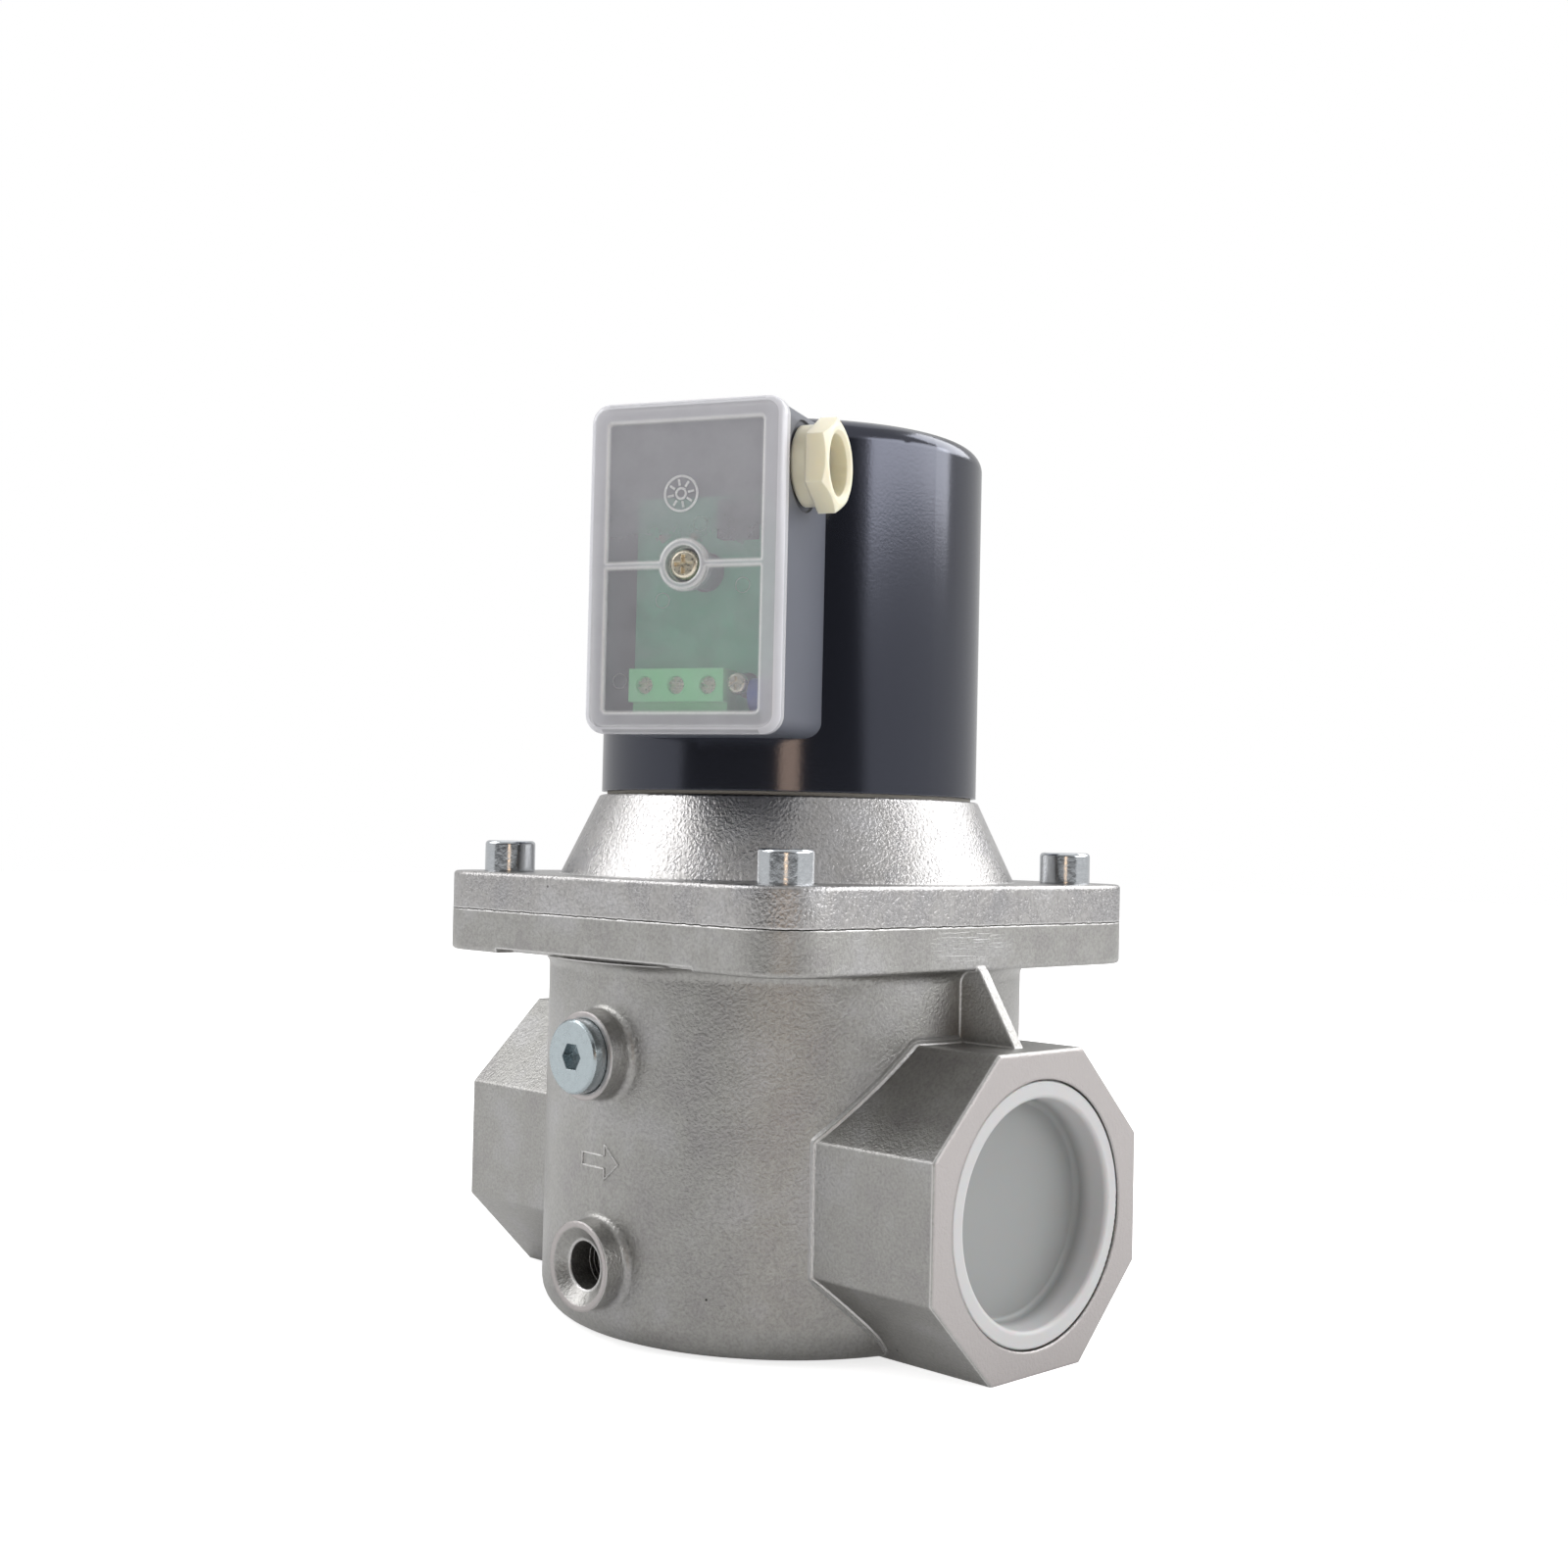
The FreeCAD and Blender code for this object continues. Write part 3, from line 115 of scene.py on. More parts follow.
def castAluminium(name, look):
    # Die-cast aluminium, tumbled: soft grey clouds, a fine bright grain, pale edges that are partly worn metal and
    # partly a painted highlight, a few pits, and the thin dark line where body and bonnet meet. The real grain is
    # finer, and drawn coarse enough to show.
    material, tree, shader = newMaterial(name, {"Metallic": look["metal"]})
    place = addNode(tree, "ShaderNodeTexCoord")
    surface = addNode(tree, "ShaderNodeNewGeometry")
    # An edge is where the rounded normal leaves the face's own
    rounded = addNode(tree, "ShaderNodeBevel", {"samples": 6, "Radius": casting["edgeRound"]})
    turn = addNode(tree, "ShaderNodeVectorMath", {"operation": "DOT_PRODUCT"},
                   {0: (rounded, "Normal"), 1: (surface, "Normal")})
    wornEdgeHighlight = addNode(tree, "ShaderNodeMapRange", {"From Min": casting["edgeFrom"], "From Max": casting["edgeTo"]},
                   {"Value": (turn, "Value")})

    cloud = addNode(tree, "ShaderNodeTexNoise", {"Scale": 1 / casting["cloud"], "Detail": 4.0, "Roughness": 0.6},
                    {"Vector": (place, "Object")})
    mottle = addNode(tree, "ShaderNodeTexNoise", {"Scale": 1 / casting["mottle"], "Detail": 2.0, "Roughness": 0.5},
                     {"Vector": (place, "Object")})
    grain = addNode(tree, "ShaderNodeTexNoise", {"Scale": 1 / casting["grain"], "Detail": 2.0, "Roughness": 0.6},
                    {"Vector": (place, "Object")})
    tones = [(0.32, look["dark"]), (0.5, look["warm"]), (0.68, look["light"])]
    tone = addNode(tree, "ShaderNodeValToRGB", {"stops": tones}, {"Fac": (cloud, "Fac")})
    speck = addNode(tree, "ShaderNodeValToRGB", {"stops": [(0.32, look["speckDark"]), (0.64, "#ffffff")]},
                    {"Fac": (grain, "Fac")})
    skin = addNode(tree, "ShaderNodeMix", {"data_type": "RGBA", "blend_type": "MULTIPLY", 0: 1.0},
                   {6: (tone, "Color"), 7: (speck, "Color")})
    # Edges painted pale: partly wear, partly a painted highlight
    bright = addNode(tree, "ShaderNodeMix", {"data_type": "RGBA", 7: casting["edgeHighlightTone"]},
                     {0: (wornEdgeHighlight, 0), 6: (skin, 2)})

    cell = addNode(tree, "ShaderNodeTexVoronoi", {"Scale": 1 / casting["pitSpacing"]}, {"Vector": (place, "Object")})
    pitShare = casting["pitRadius"] / casting["pitSpacing"]
    near = addNode(tree, "ShaderNodeMath", {"operation": "LESS_THAN", 1: pitShare}, {0: (cell, "Distance")})
    pitted = addNode(tree, "ShaderNodeMix", {"data_type": "RGBA", 7: casting["pitTone"]},
                     {0: (near, 0), 6: (bright, 2)})

    axes = addNode(tree, "ShaderNodeSeparateXYZ", None, {"Vector": (place, "Object")})
    seamBase = -casting["seamHeight"] - casting["seamWander"] / 2
    wander = addNode(tree, "ShaderNodeMath", {"operation": "MULTIPLY_ADD", 1: casting["seamWander"], 2: seamBase},
                     {0: (mottle, "Fac")})
    offset = addNode(tree, "ShaderNodeMath", {"operation": "ADD"}, {0: (axes, "Z"), 1: (wander, 0)})
    apart = addNode(tree, "ShaderNodeMath", {"operation": "ABSOLUTE"}, {0: (offset, 0)})
    seam = addNode(tree, "ShaderNodeMath", {"operation": "LESS_THAN", 1: casting["seamWidth"]}, {0: (apart, 0)})
    joined = addNode(tree, "ShaderNodeMix", {"data_type": "RGBA", 7: casting["seamTone"]},
                     {0: (seam, 0), 6: (pitted, 2)})

    rough = addNode(tree, "ShaderNodeMapRange", {"From Min": noiseLow, "From Max": noiseHigh,
                                                 "To Min": look["smooth"], "To Max": look["rough"]},
                    {"Value": (cloud, "Fac")})
    lumps = addNode(tree, "ShaderNodeBump", {"Distance": look["lumpHeight"], "Strength": 0.6},
                    {"Height": (mottle, "Fac"), "Normal": (rounded, "Normal")})
    fine = addNode(tree, "ShaderNodeBump", {"Distance": look["grainHeight"], "Strength": 0.8},
                   {"Height": (grain, "Fac"), "Normal": (lumps, "Normal")})
    feed(tree, shader, {"Roughness": (rough, "Result")})
    return material, tree, shader, {"place": place, "axes": axes, "colour": joined, "normal": fine}


bodyLook = {
    "metal": 0.9, "dark": "#a3a1a0", "warm": "#abaaa7", "light": "#b4b3b3", "speckDark": "#e6e6e6",
    "smooth": 0.33, "rough": 0.43, "lumpHeight": 0.05 * mm, "grainHeight": 0.2 * mm,
}
scuff = {
    "centre": (66.0 * mm, -5 * mm, 97.5 * mm), "size": (3 * mm, 15 * mm, 4.2 * mm), "fullWithin": 0.3,
    "stroke": (2 * mm, 12 * mm, 0.5 * mm), "lean": 0.05, "lineFrom": 0.55, "lineTo": 0.62,
    "tone": "#e6e6e6", "depth": 0.25 * mm,
}


def bodyMetal():
    # The body's port ends and test-point faces are machined, so they are paler. A patch of bright scratches
    # lies on the flange edge over the outlet.
    material, tree, shader, made = castAluminium("castAluminium", bodyLook)
    axes, place = made["axes"], made["place"]
    reach = addNode(tree, "ShaderNodeMath", {"operation": "ABSOLUTE"}, {0: (axes, "X")})
    ends = addNode(tree, "ShaderNodeMath", {"operation": "GREATER_THAN", 1: casting["portFace"]}, {0: (reach, 0)})
    boss = addNode(tree, "ShaderNodeMath", {"operation": "LESS_THAN", 1: -casting["bossFace"]}, {0: (axes, "Y")})
    machined = addNode(tree, "ShaderNodeMath", {"operation": "MAXIMUM"}, {0: (ends, 0), 1: (boss, 0)})
    turned = addNode(tree, "ShaderNodeMix", {"data_type": "RGBA", 7: casting["machinedTone"]},
                     {0: (machined, 0), 6: (made["colour"], 2)})

    shift = [-centre / size for centre, size in zip(scuff["centre"], scuff["size"])]
    patch = addNode(tree, "ShaderNodeMapping", {"Location": shift, "Scale": [1 / size for size in scuff["size"]]},
                    {"Vector": (place, "Object")})
    fromPatch = addNode(tree, "ShaderNodeVectorMath", {"operation": "LENGTH"}, {0: (patch, "Vector")})
    inside = addNode(tree, "ShaderNodeMapRange", {"From Min": 1.0, "From Max": scuff["fullWithin"]},
                     {"Value": (fromPatch, "Value")})
    stretch = addNode(tree, "ShaderNodeMapping", {"Scale": [1 / size for size in scuff["stroke"]],
                                                  "Rotation": (scuff["lean"], 0, 0)}, {"Vector": (place, "Object")})
    strokes = addNode(tree, "ShaderNodeTexNoise", {"Scale": 1.0, "Detail": 3.0, "Roughness": 0.7},
                      {"Vector": (stretch, "Vector")})
    lines = addNode(tree, "ShaderNodeMapRange", {"From Min": scuff["lineFrom"], "From Max": scuff["lineTo"]},
                    {"Value": (strokes, "Fac")})
    scratches = addNode(tree, "ShaderNodeMath", {"operation": "MULTIPLY"}, {0: (lines, 0), 1: (inside, 0)})
    scuffed = addNode(tree, "ShaderNodeMix", {"data_type": "RGBA", 7: scuff["tone"]},
                      {0: (scratches, 0), 6: (turned, 2)})
    bump = addNode(tree, "ShaderNodeBump", {"Distance": scuff["depth"], "Strength": 0.7},
                   {"Height": (scratches, 0), "Normal": (made["normal"], "Normal")})
    feed(tree, shader, {"Base Color": (scuffed, 2), "Normal": (bump, "Normal")})
    return material


bonnetLook = {
    "metal": 1.0, "dark": "#aeadae", "warm": "#b7b5b4", "light": "#c0bfc0", "speckDark": "#dfdfdf",
    "smooth": 0.25, "rough": 0.31, "lumpHeight": 0.015 * mm, "grainHeight": 0.28 * mm,
}


def bonnetMetal():
    # Shot-blasted casting: brighter than the body, with a coarse sparkle
    material, tree, shader, made = castAluminium("blastedAluminium", bonnetLook)
    feed(tree, shader, {"Base Color": (made["colour"], 2), "Normal": (made["normal"], "Normal")})
    return material


# Plated, drawn and turned metals

plating = {"edgeRound": 0.35 * mm, "spread": 0.3}
turning = {"pitch": 1.1 * mm, "depth": 0.02 * mm}
wire = {"pitch": 1.885 * mm, "depth": 0.1 * mm}


def platedSteel(name, tint, roughness, grain=0.8 * mm, wave=0.03 * mm):
    # Electroplated or drawn metal: bright, with faint clouding and softened edges
    material, tree, shader = newMaterial(name, {"Metallic": 1.0, "Base Color": tint})
    place = addNode(tree, "ShaderNodeTexCoord")
    rounded = addNode(tree, "ShaderNodeBevel", {"samples": 4, "Radius": plating["edgeRound"]})
    cloud = addNode(tree, "ShaderNodeTexNoise", {"Scale": 1 / grain, "Detail": 3.0}, {"Vector": (place, "Object")})
    rough = addNode(tree, "ShaderNodeMapRange", {"From Min": noiseLow, "From Max": noiseHigh,
                                                 "To Min": roughness * (1 - plating["spread"]),
                                                 "To Max": roughness * (1 + plating["spread"])},
                    {"Value": (cloud, "Fac")})
    bump = addNode(tree, "ShaderNodeBump", {"Distance": wave, "Strength": 0.5},
                   {"Height": (cloud, "Fac"), "Normal": (rounded, "Normal")})
    feed(tree, shader, {"Roughness": (rough, "Result"), "Normal": (bump, "Normal")})
    return material


def turnedAluminium():
    # Lathe-turned disc: rings of tool marks about the stem, drawn coarser than the real ones so that they show
    material, tree, shader = newMaterial("turnedAluminium", {"Metallic": 1.0, "Base Color": "#c4c3c2",
                                                             "Roughness": 0.3})
    place = addNode(tree, "ShaderNodeTexCoord")
    rings = addNode(tree, "ShaderNodeTexWave", {"wave_type": "RINGS", "rings_direction": "Z", "Distortion": 0.6,
                                                "Detail": 1.0, "Scale": waveSpan / turning["pitch"]},
                    {"Vector": (place, "Object")})
    bump = addNode(tree, "ShaderNodeBump", {"Distance": turning["depth"], "Strength": 0.5}, {"Height": (rings, "Fac")})
    feed(tree, shader, {"Normal": (bump, "Normal")})
    return material


def enamelledCopper():
    # Enamelled copper wire, wound: red-brown turns along the height, drawn coarser than real so that they show
    material, tree, shader = newMaterial("enamelledCopper", {"Metallic": 0.7, "Roughness": 0.3})
    place = addNode(tree, "ShaderNodeTexCoord")
    turns = addNode(tree, "ShaderNodeTexWave", {"bands_direction": "Z", "Scale": waveSpan / wire["pitch"]},
                    {"Vector": (place, "Object")})
    tone = addNode(tree, "ShaderNodeValToRGB", {"stops": [(0.0, "#7a3b1c"), (0.6, "#b8683a")]},
                   {"Fac": (turns, "Fac")})
    bump = addNode(tree, "ShaderNodeBump", {"Distance": wire["depth"], "Strength": 0.8}, {"Height": (turns, "Fac")})
    feed(tree, shader, {"Base Color": (tone, "Color"), "Normal": (bump, "Normal")})
    return material


# Plastics, rubber and enamel

moulding = {"edgeRound": 0.5 * mm, "cloud": 20 * mm}


def mouldedPlastic(name, tint, roughness, grain, height, spread=0.04, settings=None):
    # Injection moulding: fine spark texture from the mould, a faint change of tone and soft edges
    material, tree, shader = newMaterial(name, {"Roughness": roughness, **(settings or {})})
    place = addNode(tree, "ShaderNodeTexCoord")
    rounded = addNode(tree, "ShaderNodeBevel", {"samples": 4, "Radius": moulding["edgeRound"]})
    cloud = addNode(tree, "ShaderNodeTexNoise", {"Scale": 1 / moulding["cloud"], "Detail": 3.0},
                    {"Vector": (place, "Object")})
    texture = addNode(tree, "ShaderNodeTexNoise", {"Scale": 1 / grain, "Detail": 2.0}, {"Vector": (place, "Object")})
    shift = addNode(tree, "ShaderNodeMapRange", {"From Min": noiseLow, "From Max": noiseHigh, "To Min": 1 - spread,
                                                 "To Max": 1 + spread}, {"Value": (cloud, "Fac")})
    tone = addNode(tree, "ShaderNodeHueSaturation", {"Color": tint}, {"Value": (shift, "Result")})
    bump = addNode(tree, "ShaderNodeBump", {"Distance": height, "Strength": 0.5},
                   {"Height": (texture, "Fac"), "Normal": (rounded, "Normal")})
    feed(tree, shader, {"Base Color": (tone, "Color"), "Normal": (bump, "Normal")})
    return material


lidLook = {
    # The edge and round veils and the white edge tone paint a highlight on the rounded edges and steps
    "veil": (0.20, 0.26), "rimVeil": 0.3, "edgeHighlightVeil": 0.65, "raisedVeil": 0.28, "topLightVeil": 0.16, "roundHighlightVeil": 0.3,
    # The top veil and its heights are painted light from above
    "haze": 9 * mm, "topLightFrom": 175 * mm, "topLightTo": 205 * mm,
    "edgeRound": 1.1 * mm, "edgeFrom": 0.995, "edgeTo": 0.88, "rimFrom": 0.4, "rimTo": 0.95,
    "raisedFrom": 73.7 * mm, "panelHalf": 19.3 * mm, "curveMiddle": 0.5, "curveReach": 0.46,
    "plainTone": "#e2e2e8", "edgeHighlightTone": "#ffffff",
    "out": (0.42420, -0.90557, 0), "across": (0.90557, 0.42420, 0),
}


def clearPolycarbonate():
    # Clear moulding, handled: see-through with a light veil; painted highlight whitens its edges and rounded steps,
    # and painted light from above thickens the veil towards its top
    material, tree, shader = newMaterial("clearPolycarbonate", {"Roughness": 0.14, "IOR": 1.58})
    place = addNode(tree, "ShaderNodeTexCoord")
    surface = addNode(tree, "ShaderNodeNewGeometry")
    rounded = addNode(tree, "ShaderNodeBevel", {"samples": 6, "Radius": lidLook["edgeRound"]})
    turn = addNode(tree, "ShaderNodeVectorMath", {"operation": "DOT_PRODUCT"},
                   {0: (rounded, "Normal"), 1: (surface, "Normal")})
    # Rounded edges: painted highlight, whiter and more opaque
    edge = addNode(tree, "ShaderNodeMapRange", {"From Min": lidLook["edgeFrom"], "From Max": lidLook["edgeTo"]},
                   {"Value": (turn, "Value")})
    facing = addNode(tree, "ShaderNodeLayerWeight", {"Blend": 0.5})
    haze = addNode(tree, "ShaderNodeTexNoise", {"Scale": 1 / lidLook["haze"], "Detail": 4.0, "Roughness": 0.6},
                   {"Vector": (place, "Object")})
    depth = addNode(tree, "ShaderNodeVectorMath", {"operation": "DOT_PRODUCT", 1: lidLook["out"]},
                    {0: (place, "Object")})
    proud = addNode(tree, "ShaderNodeMath", {"operation": "GREATER_THAN", 1: lidLook["raisedFrom"]},
                    {0: (depth, "Value")})
    width = addNode(tree, "ShaderNodeVectorMath", {"operation": "DOT_PRODUCT", 1: lidLook["across"]},
                    {0: (place, "Object")})
    aside = addNode(tree, "ShaderNodeMath", {"operation": "ABSOLUTE"}, {0: (width, "Value")})
    skirt = addNode(tree, "ShaderNodeMath", {"operation": "GREATER_THAN", 1: lidLook["panelHalf"]},
                    {0: (aside, 0)})
    raised = addNode(tree, "ShaderNodeMath", {"operation": "MAXIMUM"}, {0: (proud, 0), 1: (skirt, 0)})
    # Rounded steps, where the normal leans partway out: more opaque, a painted highlight
    lean = addNode(tree, "ShaderNodeVectorMath", {"operation": "DOT_PRODUCT", 1: lidLook["out"]},
                   {0: (surface, "Normal")})
    roundHighlight = addNode(tree, "ShaderNodeMath", {"operation": "COMPARE", 1: lidLook["curveMiddle"],
                                              2: lidLook["curveReach"]}, {0: (lean, "Value")})
    axes = addNode(tree, "ShaderNodeSeparateXYZ", None, {"Vector": (place, "Object")})
    # Painted light from above: the veil thickens towards the top
    paintedTopLight = addNode(tree, "ShaderNodeMapRange", {"From Min": lidLook["topLightFrom"], "From Max": lidLook["topLightTo"],
                                                 "To Max": lidLook["topLightVeil"]}, {"Value": (axes, "Z")})
    low, high = lidLook["veil"]
    veil = addNode(tree, "ShaderNodeMapRange", {"From Min": noiseLow, "From Max": noiseHigh, "To Min": low,
                                                "To Max": high}, {"Value": (haze, "Fac")})
    rim = addNode(tree, "ShaderNodeMapRange", {"From Min": lidLook["rimFrom"], "From Max": lidLook["rimTo"],
                                               "To Max": lidLook["rimVeil"]}, {"Value": (facing, "Facing")})
    sides = addNode(tree, "ShaderNodeMath", {"operation": "ADD"}, {0: (veil, 0), 1: (rim, 0)})
    hazeAndTopLight = addNode(tree, "ShaderNodeMath", {"operation": "ADD"}, {0: (sides, 0), 1: (paintedTopLight, 0)})
    framed = addNode(tree, "ShaderNodeMath", {"operation": "MULTIPLY_ADD", 1: lidLook["raisedVeil"]},
                     {0: (raised, 0), 2: (hazeAndTopLight, 0)})
    roundEdge = addNode(tree, "ShaderNodeMath", {"operation": "MULTIPLY_ADD", 1: lidLook["roundHighlightVeil"]},
                        {0: (roundHighlight, 0), 2: (framed, 0)})
    alpha = addNode(tree, "ShaderNodeMath", {"operation": "MULTIPLY_ADD", 1: lidLook["edgeHighlightVeil"]},
                    {0: (edge, 0), 2: (roundEdge, 0)})
    # White on the edges: painted highlight
    tone = addNode(tree, "ShaderNodeMix", {"data_type": "RGBA", 6: lidLook["plainTone"], 7: lidLook["edgeHighlightTone"]},
                   {0: (edge, 0)})
    feed(tree, shader, {"Base Color": (tone, 2), "Alpha": (alpha, 0), "Normal": (rounded, "Normal")})
    return material


boardLook = {"copperPatch": 12 * mm, "copper": "#5cc79a", "bare": "#4fb68b"}


def boardLaminate():
    # Glass-epoxy laminate under green solder mask: satin green, a little lighter where copper lies beneath
    material, tree, shader = newMaterial("boardLaminate", {"Roughness": 0.35})
    place = addNode(tree, "ShaderNodeTexCoord")
    patches = addNode(tree, "ShaderNodeTexNoise", {"Scale": 1 / boardLook["copperPatch"], "Detail": 1.0},
                      {"Vector": (place, "Object")})
    tone = addNode(tree, "ShaderNodeValToRGB", {"stops": [(0.45, boardLook["copper"]), (0.55, boardLook["bare"])]},
                   {"Fac": (patches, "Fac")})
    feed(tree, shader, {"Base Color": (tone, "Color")})
    return material


capLook = {
    # The floor tone is painted shade deep in the cup
    "lip": "#d1d1d2", "floor": "#9fa1a1", "floorPlane": 76.2 * mm, "lipPlane": 81.0 * mm,
    "wave": 4 * mm, "waveHeight": 0.03 * mm,
}


def milkyPolyethylene():
    # Injection-moulded polyethylene: waxy white. Painted shade greys it towards the thin floor at the bottom of the
    # cup
    material, tree, shader = newMaterial("milkyPolyethylene", {"Roughness": 0.36, "Subsurface Weight": 0.2,
                                                               "Subsurface Scale": 2 * mm})
    place = addNode(tree, "ShaderNodeTexCoord")
    axes = addNode(tree, "ShaderNodeSeparateXYZ", None, {"Vector": (place, "Object")})
    # Painted shade: the tone greys from the lip down to the floor
    cupShadeFade = addNode(tree, "ShaderNodeMapRange", {"interpolation_type": "SMOOTHSTEP",
                                                  "From Min": capLook["floorPlane"],
                                                  "From Max": capLook["lipPlane"]}, {"Value": (axes, "X")})
    tone = addNode(tree, "ShaderNodeMix", {"data_type": "RGBA", 6: capLook["floor"], 7: capLook["lip"]},
                   {0: (cupShadeFade, "Result")})
    wave = addNode(tree, "ShaderNodeTexNoise", {"Scale": 1 / capLook["wave"], "Detail": 1.0},
                   {"Vector": (place, "Object")})
    bump = addNode(tree, "ShaderNodeBump", {"Distance": capLook["waveHeight"], "Strength": 0.5},
                   {"Height": (wave, "Fac")})
    feed(tree, shader, {"Base Color": (tone, 2), "Normal": (bump, "Normal")})
    return material


# Each row: name, tint, roughness, size of the pattern, height of its relief
finishes = {
    "body": bodyMetal(),
    "bonnet": bonnetMetal(),
    # Zinc electroplate: bright silver on the screws, duller and bluer on the plug, near black on the box screws
    "zinc": platedSteel("zincPlatedSteel", "#cdd1d5", 0.14, 1.2 * mm, 0.05 * mm),
    "plug": platedSteel("blueZincPlate", "#adb7bb", 0.24, 1.6 * mm),
    "blackened": platedSteel("blackZincPlate", "#26272a", 0.35),
    # Nickel electroplate: warm silver. Tinned brass: warmer still
    "nickel": platedSteel("nickelPlatedSteel", "#ebe3d0", 0.3),
    "tinned": platedSteel("tinnedBrass", "#cfc39a", 0.3),
    # Drawn stainless steel: even pale grey. Machined soft iron: darker and duller
    "stainless": platedSteel("stainlessSteel", "#b9b7b3", 0.3),
    "iron": platedSteel("softIron", "#8f8f8f", 0.35),
    "turned": turnedAluminium(),
    "copper": enamelledCopper(),
    # Enamel sprayed and baked on a deep-drawn can: blue-black gloss with a slight orange peel
    "enamel": mouldedPlastic("blackEnamel", "#0b0d15", 0.15, 0.7 * mm, 0.024 * mm,
                             settings={"Specular Tint": "#e4e9ff", "IOR": 1.85}),
    # Moulded nitrile rubber: matt black. Machined ptfe: waxy off-white. Pressed fibre: dull white paper
    "rubber": mouldedPlastic("blackRubber", "#0e0e0f", 0.6, 0.3 * mm, 0.02 * mm),
    "ptfe": mouldedPlastic("ptfe", "#e8e5dc", 0.4, 0.5 * mm, 0.01 * mm),
    "fibre": mouldedPlastic("whiteFibre", "#b5b1a9", 0.7, 0.3 * mm, 0.03 * mm),
    "cap": milkyPolyethylene(),
    "lid": clearPolycarbonate(),
    "board": boardLaminate(),
    # Injection-moulded ABS: even satin grey from a spark-eroded mould
    "box": mouldedPlastic("greyAbs", "#646771", 0.42, 0.35 * mm, 0.03 * mm),
    # Injection-moulded nylon: light goes a little way into the cream one, glass fibre dulls the black one
    "cream": mouldedPlastic("creamNylon", "#fbf2d8", 0.4, 0.5 * mm, 0.02 * mm,
                            settings={"Subsurface Weight": 0.5, "Subsurface Scale": 2 * mm,
                                      "Subsurface Radius": (1.0, 0.9, 0.7)}),
    "nylon": mouldedPlastic("glassFilledNylon", "#1a1a1b", 0.5, 0.4 * mm, 0.03 * mm),
    "green": mouldedPlastic("greenPolyamide", "#8df0a8", 0.45, 0.4 * mm, 0.02 * mm),
    # Epoxy: pressed and dull black on the rectifier, dipped and glossy blue on the varistor
    "epoxy": mouldedPlastic("blackEpoxy", "#1b1b1d", 0.5, 0.3 * mm, 0.02 * mm),
    "blue": mouldedPlastic("blueEpoxy", "#2c4aa0", 0.3, 0.8 * mm, 0.03 * mm),
}
print("finishes made:", len(finishes))

dressing = {
    "body": ["valve_body"],
    "bonnet": ["bonnet"],
    "zinc": ["bonnet_screw_%d" % n for n in range(1, 5)] + ["coil_washer", "coil_nut", "disc_washer", "disc_nut"],
    "blackened": ["box_screw_1", "box_screw_2"],
    "plug": ["test_plug"],
    "nickel": ["cover_screw", "earth_screw"] + ["terminal_screw_%d" % n for n in range(1, 4)],
    "rubber": ["bonnet_seal", "test_plug_seal", "tube_seal", "disc_seal", "box_gasket", "gland_seal"],
    "cap": ["outlet_cap"],
    "stainless": ["inlet_strainer", "armature_tube", "closing_spring", "valve_stem"],
    "iron": ["fixed_core", "plunger", "coil_base_plate"],
    "turned": ["valve_disc"],
    "ptfe": ["guide_ring_1", "guide_ring_2"],
    "enamel": ["coil_shell"],
    "nylon": ["coil_bobbin"],
    "copper": ["coil_winding"],
    "fibre": ["coil_base_ring"],
    "box": ["terminal_box"],
    "lid": ["box_cover"],
    "cream": ["gland_body", "gland_nut"],
    "board": ["circuit_board"],
    "green": ["terminal_block"],
    "epoxy": ["bridge_rectifier"],
    "blue": ["varistor"],
    "tinned": ["coil_pin_1", "coil_pin_2"],
}
for finish, names in dressing.items():
    for name in names:
        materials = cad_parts[name].data.materials
        materials.clear()
        materials.append(finishes[finish])
print("nodes dressed:", sum(len(names) for names in dressing.values()))


# Raised lines: cast and moulded marks

def finished(name, mesh, finish, body):
    mesh.name = name
    mesh.materials.clear()
    mesh.materials.append(finishes[finish])
    for face in mesh.polygons:
        face.use_smooth = True
    piece = bpy.data.objects.new(name, mesh)
    bpy.context.scene.collection.objects.link(piece)
    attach(piece, body)


def ridge(name, strokes, radius, finish, body):
    # Each stroke is (points, closed); a round bead runs along it, half sunk in the wall
    curve = bpy.data.curves.new(name, "CURVE")
    curve.dimensions = "3D"
    curve.bevel_depth, curve.bevel_resolution, curve.use_fill_caps = radius, 2, True
    for points, closed in strokes:
        spline = curve.splines.new("POLY")
        spline.points.add(len(points) - 1)
        for target, point in zip(spline.points, points):
            target.co = (*point, 1)
        spline.use_cyclic_u = closed
    maker = bpy.data.objects.new(name + "Curve", curve)
    bpy.context.scene.collection.objects.link(maker)
    mesh = bpy.data.meshes.new_from_object(maker.evaluated_get(bpy.context.evaluated_depsgraph_get()))
    bpy.data.objects.remove(maker)
    finished(name, mesh, finish, body)


flowArrow = {
    "wallRadius": 61.35 * mm, "height": 43.5 * mm, "tail": -6.6 * mm, "neck": 2.0 * mm, "tip": 6.8 * mm,
    "shaftHalf": 1.5 * mm, "headHalf": 4.2 * mm, "bead": 0.24 * mm, "steps": 6,
}


